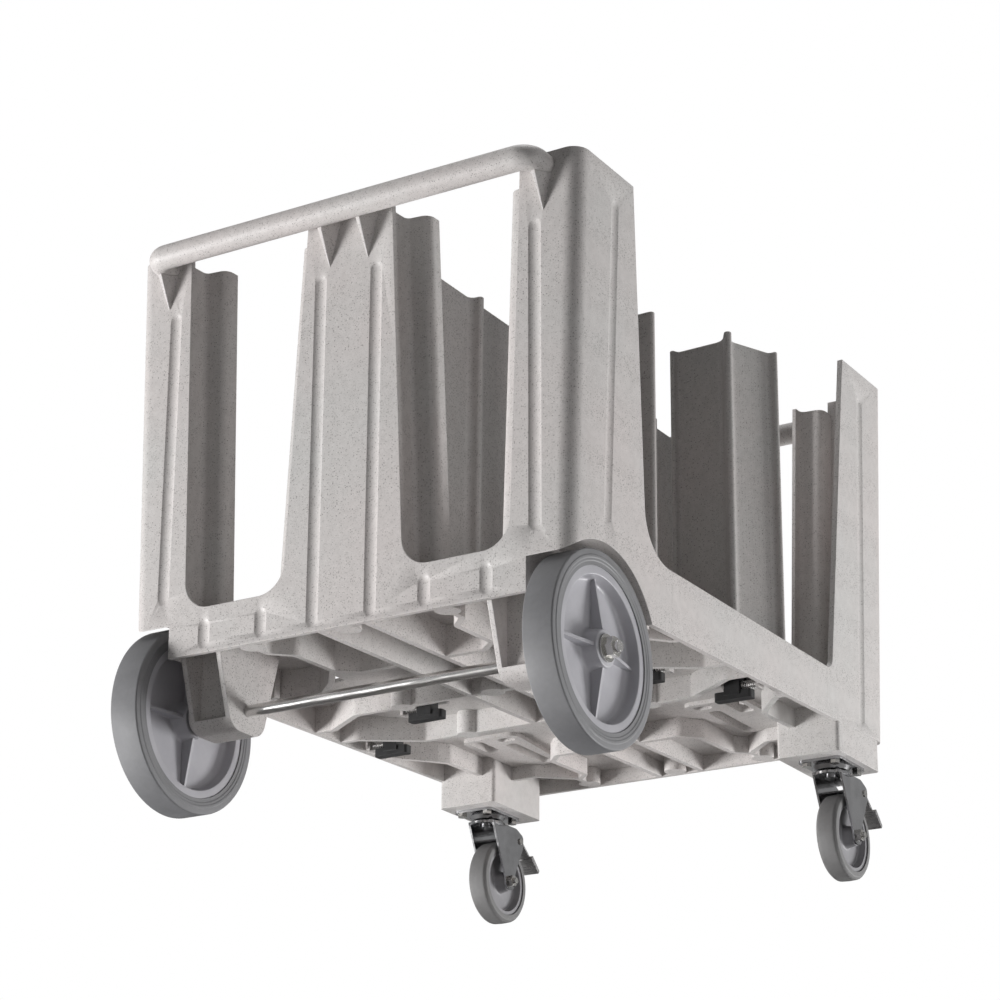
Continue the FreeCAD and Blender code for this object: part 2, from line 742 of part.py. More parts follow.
DRAINS = (
    ((163.0, 236.0), (183.0, 236.0), (183.0, 350.0), (163.0, 350.0)),
    ((205.0, 204.0), (228.0, 204.0), (228.0, 262.0), (205.0, 262.0)),
    ((148.0, 206.0), (184.0, 206.0), (178.0, 222.0), (156.0, 222.0)),
)


def deck_solid():
    """Deck inside the shell, with slots, drain holes and room for the wheel housings."""
    low = size("deck_under")
    high = low + size("deck_thick")
    deck = box(-BIG, BIG, -BIG, BIG, low, high).common(inner_solid)
    cuts = []
    for tower in TOWERS:
        corners, radii = slot_outline(tower, 0.0)
        cuts.append(prism(corners, radii, low - 20.0, high + 1.0))
    hand_hole = ((218.0, -192.0), (252.0, -192.0), (252.0, -138.0), (218.0, -138.0))
    seats = (
        (size("seat_rear_x"), size("seat_rear_y"), size("seat_rear_round")),
        (size("seat_front_x"), size("seat_front_y"), size("seat_front_round")),
    )
    for name, side in SIDES:
        for x, y, radius in seats:
            spot = Vector(side * x, y, high - size("seat_deep"))
            cuts.append(Part.makeCylinder(radius, 5.0, spot))
        for hole in DRAINS:
            placed = [(side * px, py) for px, py in hole]
            cuts.append(prism(placed, [7.5] * 4, low - 20.0, high + 1.0))
        placed = [(side * px, py) for px, py in hand_hole]
        cuts.append(prism(placed, [4.0] * 4, low - 20.0, high + 1.0))
        reach = size("arch_round") + size("arch_wall")
        cuts.append(arch_cylinder(side, reach, size("arch_inner") - size("arch_wall"), BIG / 2.0))
    for name, side in SIDES:
        island = [(side * px, py) for px, py in ((139.0, 196.0), (238.0, 196.0), (238.0, 360.0), (154.0, 360.0))]
        deck = deck.fuse(prism(island, [16.0] * 4, low - 6.0, low))
    return deck.cut(cuts)


RIBS = (
    # rear pair of cells between the end wall and the middle
    ((36.0, -274.0), (98.0, -274.0), (126.0, -300.0), (126.0, -386.0), (151.0, -412.0), (151.0, -462.0)),
    # two wavy ribs across the cart, far apart in the middle and near each other at the walls
    ((0.0, -94.0), (229.0, -94.0), (303.0, -43.0), (352.0, -43.0)),
    ((0.0, 80.0), (222.0, 80.0), (305.0, 22.0), (352.0, 22.0)),
    # side cells beside the caster blocks
    ((352.0, 141.0), (320.0, 141.0), (278.0, 194.0), (267.0, 212.0), (267.0, 306.0)),
    # front pair of cells
    ((36.0, 259.0), (104.0, 259.0), (127.0, 286.0), (127.0, 384.0), (151.0, 408.0), (151.0, 462.0)),
    ((149.0, 404.0), (200.0, 356.0), (246.0, 356.0)),
    # edge of the wheel housing
    ((352.0, -166.0), (325.0, -176.0), (290.0, -222.0), (268.0, -232.0)),
    # stiffening rib towards the leg
    ((126.0, -300.0), (162.0, -252.0), (204.0, -212.0), (252.0, -212.0), (286.0, -222.0)),
)

PADS = ((0.0, -446.0), (151.0, -446.0), (0.0, -94.0), (149.0, -94.0), (150.0, 82.0), (0.0, 442.0), (151.0, 440.0))


def rib_grid():
    """Ribs and round bosses under the deck, cut off along the tub's lower edge."""
    low = size("tub_low") - 10.0
    high = size("deck_under")
    wall = size("rib_wall")
    edge = tub_half_length(high)
    pieces = []
    for name, side in SIDES:
        spine = side * size("rib_spine")
        pieces.append(box(spine - wall / 2.0, spine + wall / 2.0, -edge, edge, low, high))
        for path in RIBS:
            points, radii = ribbon([(side * px, py) for px, py in path], 14.0, wall)
            pieces.append(prism(points, radii, low, high))
        for x, y in PADS:
            if x > 0.0 or side > 0:
                pieces.append(Part.makeCylinder(size("pad_round"), high - low, Vector(side * x, y, low)))
    grid = pieces[0].fuse(pieces[1:]).common(inner_solid)
    below = side_prism(skirt_corners, [0.0] * 4, -BIG / 2.0, BIG / 2.0)
    return grid.cut(below)


def leg_solid(side):
    """Hollow tapering leg that carries the axle, open to the rear."""
    axle_z = size("wheel_across") / 2.0
    axle_y = size("axle_y")
    foot = size("leg_foot")
    top = size("deck_under")
    inner = size("leg_inner")
    outer = size("arch_inner") - size("arch_wall")
    back = -tub_half_length(top, size("tub_wall"))
    low = axle_z - foot
    profile = [(back, top), (axle_y - foot - 3.0, low), (axle_y + foot + 3.0, low), (axle_y + 70.0, top)]
    leg = side_prism(profile, [0.0, foot - 4.0, foot - 4.0, 0.0], inner, outer)
    wall = size("leg_wall")
    hollow = [
        (back - 60.0, top - wall),
        (back - 60.0, low + 2.2 * wall),
        (axle_y - foot + 4.0, low + 2.2 * wall),
        (axle_y - foot + 2.0, top - wall),
    ]
    pocket = side_prism(hollow, [0.0, 0.0, 8.0, 8.0], inner + wall, outer - wall)
    leg = leg.cut(pocket)
    boss = Part.makeCylinder(foot - 9.0, size("leg_boss"), Vector(outer, axle_y, axle_z), Vector(1, 0, 0))
    bore = size("axle_across") / 2.0
    hole = Part.makeCylinder(bore, BIG, Vector(0, axle_y, axle_z), Vector(1, 0, 0))
    leg = leg.fuse(boss).cut(hole)
    return leg.removeSplitter()


def caster_block(side):
    """Block under a front corner that carries a caster plate."""
    points = [
        (size("block_in"), size("block_back")),
        (size("block_out"), size("block_back")),
        (size("block_out"), size("block_front")),
        (size("block_in"), size("block_front")),
    ]
    block = prism(points, [6.0] * 4, size("caster_height"), size("deck_under"))
    pattern = []
    for dx in (-0.5, 0.5):
        for dy in (-0.5, 0.5):
            spot = Vector(
                size("caster_x") + dx * size("bolt_pitch_x"),
                size("caster_y") + dy * size("bolt_pitch_y"),
                size("caster_height"),
            )
            pattern.append(Part.makeCylinder(size("bolt_across") / 2.0, size("bolt_depth"), spot))
    return block.cut(shell_solid).cut(pattern)


deck = deck_solid()
plain_feature("deck", deck)

for side_name, side in SIDES:
    side_wall(side_name, side)
    plain_feature("wheel_housing_" + side_name, wheel_housing(side))

legs = [mirrored(leg_solid(side), side) for name, side in SIDES]
blocks = [mirrored(caster_block(side), side) for name, side in SIDES]
for (side_name, side), leg, block in zip(SIDES, legs, blocks):
    plain_feature("axle_leg_" + side_name, leg)
    plain_feature("caster_block_" + side_name, block)

clear_arch = [
    arch_cylinder(side, size("arch_round") + size("arch_wall"), size("arch_inner") - size("arch_wall"), BIG / 2.0)
    for name, side in SIDES
]
grid = rib_grid().cut(clear_arch + legs + blocks + [deck])
plain_feature("rib_grid", grid.removeSplitter())

# ----------------------------------------------------------------- middle posts

def post_solid(y, reach_back, reach_front):
    """Four-armed post on the centre line: long arms along the cart, short fins across it."""
    half = size("post_wall") / 2.0
    fin = size("post_fin")
    fillet = 10.0
    tip = half - 0.1
    corners = [
        (half, -reach_back, tip), (half, -half, fillet), (fin, -half, tip), (fin, half, tip),
        (half, half, fillet), (half, reach_front, tip), (-half, reach_front, tip),
        (-half, half, fillet), (-fin, half, tip), (-fin, -half, tip), (-half, -half, fillet),
        (-half, -reach_back, tip),
    ]
    floor = size("deck_under") + size("deck_thick")
    points = [(px, y + py) for px, py, radius in corners]
    post = prism(points, [radius for px, py, radius in corners], floor, size("post_top"))
    top_edges = [edge for edge in post.Edges if edge.BoundBox.ZMin > size("post_top") - 0.1]
    return post.makeFillet(2.0, top_edges)


plain_feature("centre_post_rear", post_solid(size("post_rear_y"), size("post_arm"), size("post_arm")))
plain_feature("centre_post_front", post_solid(size("post_front_y"), size("post_arm"), size("post_arm_front")))


# ----------------------------------------------------------------- sliding towers

def tower_outline():
    """Plan outline of a tower about its root with the fin towards +X: corners and radii."""
    angle = math.radians(size("tower_angle"))
    along = Vector(math.cos(angle), math.sin(angle), 0)
    inward = Vector(math.sin(angle), -math.cos(angle), 0)
    half = size("tower_wall") / 2.0
    fin = size("tower_fin_wall") / 2.0
    elbow = along * size("tower_wing")
    splay = math.radians(72.0)
    lip = elbow + (along * math.cos(splay) + inward * math.sin(splay)) * size("tower_lip")
    path = [(0.0, 0.0), (elbow.x, elbow.y), (lip.x, lip.y)]
    hollow = offset_path(path, -half)
    outer = offset_path(path, half)
    to_fin = (fin - half * inward.y) / along.y
    crotch = inward * half + along * to_fin
    to_spine = half * inward.y / along.y
    spine = along * to_spine - inward * half
    upper = [
        (size("tower_fin"), fin, fin - 0.1),
        (crotch.x, crotch.y, 22.0),
        (hollow[1][0], hollow[1][1], 6.0),
        (hollow[2][0], hollow[2][1], half - 0.1),
        (outer[2][0], outer[2][1], half - 0.1),
        (outer[1][0], outer[1][1], 6.0 + 2.0 * half),
    ]
    lower = [(px, -py, radius) for px, py, radius in reversed(upper)]
    entries = upper + [(spine.x, spine.y, 14.0)] + lower
    return [(px, py) for px, py, radius in entries], [radius for px, py, radius in entries]


def tower_post():
    """Tower with foot and neck, about the middle of its neck, fin towards +X."""
    floor = size("deck_under") + size("deck_thick") + size("running_gap")
    points, radii = tower_outline()
    placed = [(px - size("tower_neck"), py) for px, py in points]
    post = prism(placed, radii, floor, size("tower_top"))
    top_edges = [edge for edge in post.Edges if edge.BoundBox.ZMin > size("tower_top") - 0.1]
    post = post.makeFillet(1.8, top_edges)
    back = -size("tower_foot_back")
    tip = size("tower_foot_tip")
    half = size("tower_foot_half")
    foot = prism([(back, -half), (tip, -half), (tip, half), (back, half)], [12.0] * 4, floor,
                 floor + size("tower_foot_thick"))
    foot_edges = [edge for edge in foot.Edges if edge.BoundBox.ZMin > floor + size("tower_foot_thick") - 0.1]
    foot = foot.makeFillet(3.0, foot_edges)
    wide = size("slot_width") / 2.0 - size("slot_gap")
    long = size("neck_length") / 2.0
    below = size("deck_under") - size("running_gap") - 6.0
    neck = prism([(-long, -wide), (long, -wide), (long, wide), (-long, wide)], [wide - 1.0] * 4, below,
                 floor + 1.0)
    return post.fuse([foot, neck]).removeSplitter()


def keeper_solid():
    """Keeper under the deck: plate, two guide rails and a lug for the spring, spring towards +X."""
    top = size("deck_under") - size("running_gap") - 6.0
    low = top - size("keeper_thick")
    back = -size("keeper_back")
    lug = size("keeper_lug")
    half = size("keeper_half")
    plate = prism([(back, -half), (lug, -half), (lug, half), (back, half)], [5.0] * 4, low, top)
    gap = size("latch_gap")
    rail_low = low - size("keeper_rail")
    pieces = []
    for side in (-1.0, 1.0):
        inner = size("latch_flange") + gap
        near, far = sorted((side * inner, side * half))
        pieces.append(box(back + 5.0, size("latch_body"), near, far, rail_low, low))
        near, far = sorted((side * (size("latch_half") + gap), side * inner))
        pieces.append(
            box(back + 5.0, size("latch_body"), near, far, rail_low, rail_low + size("keeper_lip"))
        )
    axis = top - size("keeper_thick") - size("spring_drop")
    face = size("latch_body") / 2.0 + size("spring_length")
    pieces.append(box(face, lug, -8.0, 8.0, axis - 8.0, low))
    seat = rod((face - 5.0, 0.0, axis), (face + 1.0, 0.0, axis), 3.4)
    return plate.fuse(pieces + [seat]).removeSplitter()


def latch_solid():
    """Latch with a guided flange on top and a finger bar across its lower end."""
    top = size("deck_under") - size("running_gap") - 6.0 - size("keeper_thick") - size("latch_gap")
    half = size("latch_half")
    long = size("latch_body") / 2.0
    low = top - size("latch_drop")
    flange_low = top - size("latch_flange_thick")
    block = box(-long, long, -half, half, low, top)
    flange = box(-long - 3.0, long - 1.0, -size("latch_flange"), size("latch_flange"), flange_low, top)
    bar_half = size("latch_bar") / 2.0
    depth = half - 2.0
    bar = prism(
        [(-bar_half, -depth), (bar_half, -depth), (bar_half, depth), (-bar_half, depth)],
        [4.0] * 4,
        low - size("latch_bar_thick") + 6.0,
        low + 6.0,
    )
    axis = top + size("latch_gap") - size("spring_drop")
    seat = rod((long - 1.0, 0.0, axis), (long + 5.0, 0.0, axis), 3.4)
    return block.fuse([flange, bar, seat]).removeSplitter()


def coil_solid():
    """Spring of the latch: one unbroken tube of flat half-turn arcs joined into curls."""
    wire = size("spring_wire") / 2.0
    radius = size("spring_mean") / 2.0
    top = size("deck_under") - size("running_gap") - 6.0 - size("keeper_thick")
    axis = top - size("spring_drop")
    start = size("latch_body") / 2.0 + wire + 0.2
    reach = size("spring_length") - 2.0 * wire - 0.4
    curls = 4
    pitch = reach / curls
    steps = 4 * curls
    points = []
    for step in range(2 * steps + 1):
        angle = step * math.pi / 4.0
        along = start + pitch * step / 8.0
        points.append(Vector(along, radius * math.sin(angle), axis + radius * math.cos(angle)))
    edges = [
        Part.Arc(points[2 * index], points[2 * index + 1], points[2 * index + 2]).toShape()
        for index in range(steps)
    ]
    path = Part.Wire(edges)
    circle = Part.Circle(points[0], path.Edges[0].tangentAt(path.Edges[0].FirstParameter), wire)
    tube = path.makePipeShell([Part.Wire(circle.toShape())], True, False)
    samples = [point for edge in edges for point in edge.discretize(7)[:-1]]
    nearest = min(
        (samples[i] - samples[j]).Length
        for i in range(len(samples))
        for j in range(i + 14, len(samples))
    )
    return tube, nearest - 2.0 * wire


coil, coil_gap = coil_solid()
print("spring: least gap of the wire to itself %.2f mm" % coil_gap)
post_form = tower_post()
keeper_form = keeper_solid()
latch_form = latch_solid()

for tower in TOWERS:
    turned = Placement(Vector(tower.x, tower.y, 0), Rotation(Vector(0, 0, 1), tower.heading))
    square = Placement(Vector(tower.x, tower.y, 0), Rotation(Vector(0, 0, 1), 0.0 if tower.side > 0 else 180.0))
    for name, form, place in (
        ("tower_%s_post", post_form, turned),
        ("tower_%s_keeper", keeper_form, square),
        ("tower_%s_latch", latch_form, square),
        ("tower_%s_spring", coil, square),
    ):
        node = plain_feature(name % tower.letter, form.copy())
        node.Placement = place


# ----------------------------------------------------------------- fixed wheels and axle

def turned_body(name, corners, radii, place):
    """Body turned about the X axis from an outline of (along the axis, from the axis)."""
    body = new_body(name)
    sketch = new_sketch(body, name + "_section", "XY_Plane")
    for item in rounded_outline(corners, radii):
        sketch.addGeometry(item, False)
    turn = body.newObject("PartDesign::Revolution", name + "_turn")
    turn.Profile = sketch
    turn.ReferenceAxis = (sketch, ["H_Axis"])
    turn.Angle = 360.0
    body.Tip = turn
    body.Placement = place
    return body


def add_spokes(body, corners, thick, count):
    """Thin ribs around the wheel's axis, from one outline and a polar pattern."""
    sketch = new_sketch(body, body.Name + "_rib_outline", "XY_Plane")
    for item in rounded_outline(corners, [0.0] * len(corners)):
        sketch.addGeometry(item, False)
    pad = body.newObject("PartDesign::Pad", body.Name + "_rib")
    pad.Profile = sketch
    pad.Midplane = True
    pad.setExpression("Length", thick)
    pattern = body.newObject("PartDesign::PolarPattern", body.Name + "_ribs")
    pattern.Originals = [pad]
    pattern.Axis = (sketch, ["H_Axis"])
    pattern.Angle = 360.0
    pattern.Occurrences = count
    body.Tip = pattern
    return body


wheel_radius = size("wheel_across") / 2.0
wheel_half = size("wheel_wide") / 2.0
rim_radius = wheel_radius - size("wheel_tread")
bore_radius = size("axle_across") / 2.0 + size("axle_gap")
hub_radius = size("wheel_hub") / 2.0
hub_half = wheel_half + 1.5
ring = 11.0

TYRE = [
    (-wheel_half + 1.0, rim_radius), (wheel_half - 1.0, rim_radius), (wheel_half - 1.0, rim_radius + 3.0),
    (wheel_half, rim_radius + 4.0), (wheel_half, wheel_radius - 9.0), (wheel_half - 1.5, wheel_radius - 8.0),
    (wheel_half - 1.5, wheel_radius), (-wheel_half + 1.5, wheel_radius), (-wheel_half + 1.5, wheel_radius - 8.0),
    (-wheel_half, wheel_radius - 9.0), (-wheel_half, rim_radius + 4.0), (-wheel_half + 1.0, rim_radius + 3.0),
]
TYRE_ROUND = [0.0, 0.0, 0.0, 0.0, 0.0, 0.0, 5.0, 5.0, 0.0, 0.0, 0.0, 0.0]

web = 3.0
CORE = [
    (-hub_half, bore_radius), (hub_half, bore_radius), (hub_half, hub_radius - 2.0), (web, hub_radius + 2.0),
    (web, rim_radius - ring - 2.0), (wheel_half - 3.0, rim_radius - ring), (wheel_half - 3.0, rim_radius),
    (-wheel_half + 3.0, rim_radius), (-wheel_half + 3.0, rim_radius - ring), (-web, rim_radius - ring - 2.0),
    (-web, hub_radius + 2.0), (-hub_half, hub_radius - 2.0),
]
CORE_ROUND = [0.0, 0.0, 0.0, 4.0, 4.0, 0.0, 0.0, 0.0, 0.0, 4.0, 4.0, 0.0]
SPOKE = [
    (-hub_half + 4.0, hub_radius - 4.0), (hub_half - 4.0, hub_radius - 4.0),
    (wheel_half - 7.0, rim_radius - ring + 3.0), (-wheel_half + 7.0, rim_radius - ring + 3.0),
]

bodies = []
for side_name, side in SIDES:
    centre = Placement(Vector(side * size("wheel_track") / 2.0, size("axle_y"), wheel_radius), Rotation())
    bodies.append(turned_body("rear_tyre_" + side_name, TYRE, TYRE_ROUND, centre))
    core = turned_body("rear_core_" + side_name, CORE, CORE_ROUND, centre)
    doc.recompute()
    bodies.append(add_spokes(core, SPOKE, "6", 4))

track = size("wheel_track") / 2.0
axle_y = size("axle_y")
washer_start = track + hub_half + 0.5
nut_start = washer_start + size("washer_thick")
axle_end = nut_start + size("nut_thick") + 6.0
axle = rod((-axle_end, axle_y, wheel_radius), (axle_end, axle_y, wheel_radius), size("axle_across") / 2.0)
tip_edges = [edge for edge in axle.Edges if abs(abs(edge.CenterOfMass.x) - axle_end) < 0.1]
plain_feature("rear_axle", axle.makeChamfer(1.2, tip_edges))


def washer(start, thick, outer, inner, y, z):
    """Flat ring about an axis along X."""
    ring_solid = rod((start, y, z), (start + thick, y, z), outer)
    return ring_solid.cut(rod((start - 1.0, y, z), (start + thick + 1.0, y, z), inner))


def hexagon(start, thick, flats, y, z):
    """Hexagonal bar along X with chamfered corners on its far face."""
    radius = flats / math.sqrt(3.0)
    corners = [Vector(start, y + radius * math.cos(math.radians(60 * k)), z + radius * math.sin(math.radians(60 * k)))
               for k in range(7)]
    bar = Part.Face(Part.makePolygon(corners)).extrude(Vector(thick, 0, 0))
    cone = Part.makeCone(flats / 2.0 + abs(thick) * 1.6, flats / 2.0 * 0.94, abs(thick) * 1.05,
                         Vector(start, y, z), Vector(math.copysign(1.0, thick), 0, 0))
    return bar.common(cone)


inner_washer = size("arch_inner") - size("arch_wall") + size("leg_boss")
washers = []
nuts = []
bore = size("axle_across") / 2.0
for side_name, side in SIDES:
    outer_ring = washer(washer_start, size("washer_thick"), size("washer_across") / 2.0, bore, axle_y, wheel_radius)
    inner_ring = washer(inner_washer, size("washer_thick"), size("washer_across") / 2.0, bore, axle_y, wheel_radius)
    nut = hexagon(nut_start, size("nut_thick"), size("nut_flats"), axle_y, wheel_radius)
    nut = nut.cut(rod((nut_start - 1.0, axle_y, wheel_radius), (axle_end + 1.0, axle_y, wheel_radius), bore))
    washers += [mirrored(outer_ring, side), mirrored(inner_ring, side)]
    nuts.append(mirrored(nut, side))
plain_feature("axle_washers", Part.makeCompound(washers))
plain_feature("axle_nuts", Part.makeCompound(nuts))


# ----------------------------------------------------------------- casters

mount = size("caster_height")
plate_low = mount - size("plate_thick")
caster_radius = size("caster_across") / 2.0
caster_half = size("caster_wide") / 2.0
core_radius = caster_radius - size("caster_tread")
pin_radius = 6.0
crown_top = plate_low - 9.6
crown_thick = 4.0
pedal_y = 62.0
pedal_z = crown_top - crown_thick - 14.0


def around_swivel(side):
    """Placement that carries a caster's own frame to its swivel axis."""
    return Placement(Vector(side * size("caster_x"), size("caster_y"), 0), Rotation())


def caster_plate_form():
    """Top plate with its four holes and the pressed cup of the ball race."""
    half_x = size("plate_x") / 2.0
    half_y = size("plate_y") / 2.0
    corners = [(-half_x, -half_y), (half_x, -half_y), (half_x, half_y), (-half_x, half_y)]
    plate = prism(corners, [7.0] * 4, plate_low, mount)
    race = size("race_across") / 2.0
    cup = Part.makeCone(race, race - 4.0, 6.0, Vector(0, 0, plate_low), Vector(0, 0, -1))
    hollow = Part.makeCylinder(race - 8.0, 5.0, Vector(0, 0, plate_low - 6.1))
    bore_hole = Part.makeCylinder(pin_radius + 0.05, 30.0, Vector(0, 0, plate_low - 10.0))
    holes = [
        Part.makeCylinder(size("bolt_across") / 2.0, 20.0,
                          Vector(dx * size("bolt_pitch_x"), dy * size("bolt_pitch_y"), plate_low - 10.0))
        for dx in (-0.5, 0.5)
        for dy in (-0.5, 0.5)
    ]
    return plate.fuse(cup).cut([hollow, bore_hole] + holes)


def caster_bolts_form():
    """Four hexagon bolts that hold the plate to its block."""
    bolts = []
    for dx in (-0.5, 0.5):
        for dy in (-0.5, 0.5):
            x = dx * size("bolt_pitch_x")
            y = dy * size("bolt_pitch_y")
            shank = Part.makeCylinder(
                size("bolt_across") / 2.0, size("bolt_depth") + size("plate_thick"), Vector(x, y, plate_low)
            )
            radius = size("bolt_head") / math.sqrt(3.0)
            corners = [
                (x + radius * math.cos(math.radians(60 * k)), y + radius * math.sin(math.radians(60 * k)))
                for k in range(6)
            ]
            head = prism(corners, [0.0] * 6, plate_low - size("bolt_head_thick"), plate_low)
            bolts.append(shank.fuse(head).removeSplitter())
    return Part.makeCompound(bolts)


def fork_form():
    """Fork: round crown with king pin and two legs that trail to the wheel's axle."""
    trail = size("caster_trail")
    metal = size("fork_metal")
    inner = size("fork_gap") / 2.0
    outer = inner + metal
    crown_low = crown_top - crown_thick
    crown = Part.makeCylinder(27.0, crown_thick, Vector(0, 0, crown_low))
    shoulder = prism([(-outer, -22.0), (outer, -22.0), (outer, 54.0), (-outer, 54.0)], [5.0] * 4, crown_low, crown_top)
    upper = Part.makeCone(22.0, 18.0, plate_low - 6.4 - crown_top, Vector(0, 0, crown_top))
    pin = Part.makeCylinder(pin_radius, mount - 1.0 - crown_low, Vector(0, 0, crown_low))
    pin_head = Part.makeCylinder(11.0, 3.0, Vector(0, 0, crown_low - 3.0))
    pieces = [crown, shoulder, upper, pin, pin_head]
    boss = 13.0
    for side in (-1.0, 1.0):
        near, far = sorted((side * inner, side * outer))
        outline = [
            (-20.0, crown_top), (trail - boss, caster_radius + 4.0), (trail - boss, caster_radius - boss),
            (trail + boss, caster_radius - boss), (trail + boss + 3.0, caster_radius + 16.0),
            (pedal_y + 9.0, pedal_z - 9.0), (pedal_y + 9.0, pedal_z + 9.0), (50.0, crown_top),
        ]
        radii = [0.0, 30.0, boss - 0.5, boss - 0.5, 30.0, 8.0, 8.0, 0.0]
        leg = side_prism(outline, radii, near, far)
        leg = leg.cut(rod((near - 1.0, trail, caster_radius), (far + 1.0, trail, caster_radius), size("caster_axle") / 2.0))
        leg = leg.cut(rod((near - 1.0, pedal_y, pedal_z), (far + 1.0, pedal_y, pedal_z), 3.0))
        pieces.append(leg)
    fork = pieces[0].fuse(pieces[1:])
    return fork.removeSplitter()


def caster_axle_form():
    """Axle bolt with head, nut and the rivet on which the brake turns."""
    trail = size("caster_trail")
    outer = size("fork_gap") / 2.0 + size("fork_metal")
    z = caster_radius
    shank = rod((-outer - 10.0, trail, z), (outer + 12.0, trail, z), size("caster_axle") / 2.0)
    head = hexagon(-outer, -6.0, 15.0, trail, z)
    nut = hexagon(outer, 8.0, 16.0, trail, z)
    rivet = rod((-outer - 2.0, pedal_y, pedal_z), (outer + 2.0, pedal_y, pedal_z), 3.0)
    heads = [rod((side * outer, pedal_y, pedal_z), (side * (outer + 2.0), pedal_y, pedal_z), 5.0) for side in (-1.0, 1.0)]
    return Part.makeCompound([shank.fuse([head, nut]).removeSplitter(), rivet.fuse(heads).removeSplitter()])


def brake_form():
    """Brake pedal: folded lever between the fork legs with a wide tread and a brake shoe."""
    half = size("fork_gap") / 2.0 - 0.6
    sheet_metal = 3.0
    path = [(pedal_y - 10.0, pedal_z + 6.0), (pedal_y + 4.0, pedal_z + 7.0), (pedal_y + 30.0, pedal_z - 14.0),
            (pedal_y + 54.0, pedal_z - 37.0)]
    points, radii = ribbon(path, 12.0, sheet_metal)
    lever = side_prism(points, radii, -half, half)
    barrel = rod((-half, pedal_y, pedal_z), (half, pedal_y, pedal_z), 7.0)
    wide = half + 5.0
    tread = [(pedal_y + 33.0, pedal_z - 20.5), (pedal_y + 54.0, pedal_z - 41.0), (pedal_y + 57.0, pedal_z - 36.0),
             (pedal_y + 36.0, pedal_z - 15.0)]
    tread_pad = side_prism(tread, [1.0] * 4, -wide, wide)
    shoe = side_prism(
        [(pedal_y - 6.0, pedal_z - 3.0), (pedal_y + 6.0, pedal_z - 12.0), (pedal_y + 13.0, pedal_z - 6.0),
         (pedal_y + 4.0, pedal_z + 5.0)], [1.0] * 4, -12.0, 12.0)
    pedal = lever.fuse([barrel, tread_pad, shoe])
    pedal = pedal.cut(rod((-wide, pedal_y, pedal_z), (wide, pedal_y, pedal_z), 3.05))
    return pedal.removeSplitter()


CASTER_TYRE = [
    (-caster_half, core_radius), (caster_half, core_radius), (caster_half, caster_radius - 5.0),
    (caster_half - 4.0, caster_radius - 0.6), (0.0, caster_radius), (-caster_half + 4.0, caster_radius - 0.6),
    (-caster_half, caster_radius - 5.0),
]
CASTER_TYRE_ROUND = [0.0, 0.0, 3.0, 4.0, 60.0, 4.0, 3.0]
caster_bore = size("caster_axle") / 2.0 + 0.05
caster_hub = size("fork_gap") / 2.0 - 0.5
CASTER_CORE = [
    (-caster_hub, caster_bore), (caster_hub, caster_bore), (caster_hub, 14.0), (4.0, 17.0),
    (4.0, core_radius - 9.0), (caster_half - 2.0, core_radius - 6.0), (caster_half - 2.0, core_radius),
    (-caster_half + 2.0, core_radius), (-caster_half + 2.0, core_radius - 6.0), (-4.0, core_radius - 9.0),
    (-4.0, 17.0), (-caster_hub, 14.0),
]
CASTER_CORE_ROUND = [0.0, 0.0, 0.0, 3.0, 3.0, 0.0, 0.0, 0.0, 0.0, 3.0, 3.0, 0.0]

plate_form = caster_plate_form()
caster_bolts = caster_bolts_form()
fork = fork_form()
caster_axle = caster_axle_form()
brake = brake_form()
for side_name, side in SIDES:
    place = around_swivel(side)
    for name, form in (
        ("caster_plate_", plate_form),
        ("caster_bolts_", caster_bolts),
        ("caster_fork_", fork),
        ("caster_axle_", caster_axle),
        ("brake_pedal_", brake),
    ):
        node = plain_feature(name + side_name, form.copy())
        node.Placement = place
    centre = Placement(
        Vector(side * size("caster_x"), size("caster_y") + size("caster_trail"), caster_radius), Rotation()
    )
    bodies.append(turned_body("caster_tyre_" + side_name, CASTER_TYRE, CASTER_TYRE_ROUND, centre))
    bodies.append(turned_body("caster_core_" + side_name, CASTER_CORE, CASTER_CORE_ROUND, centre))

doc.recompute()
for body in bodies:
    keep(body)


# ----------------------------------------------------------------- export

problems = []
for item in doc.Objects:
    if "Invalid" in item.State or "Error" in item.State:
        problems.append(item.Name + " " + ",".join(item.State))
for node in NODES:
    shape = node.Shape
    if shape.isNull() or not shape.isValid():
        problems.append(node.Name + " has no valid shape")
        continue
    print(node.Name, round(shape.Volume / 1000.0, 1), "cm3", len(shape.Solids), "solids")
    shape.exportStep("parts/%s.step" % node.Label)
box_all = NODES[0].Shape.BoundBox
for node in NODES[1:]:
    box_all.add(node.Shape.BoundBox)
print("overall", [round(value, 1) for value in (box_all.XMin, box_all.XMax, box_all.YMin, box_all.YMax, box_all.ZMin, box_all.ZMax)])
if problems:
    raise RuntimeError("; ".join(problems))
print(len(NODES), "parts")
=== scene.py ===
"""Looks of a plate dispenser cart: finishes, fine pieces, studio and camera.

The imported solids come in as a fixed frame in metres. Each class below dresses one
sub-assembly of the cart. It gives the solids their finish and adds the pieces that are
too fine for the solids.
"""
from __future__ import annotations

import json
import logging
import math
from dataclasses import dataclass, field
from enum import Enum

import bmesh
import bpy
from mathutils import Matrix, Vector

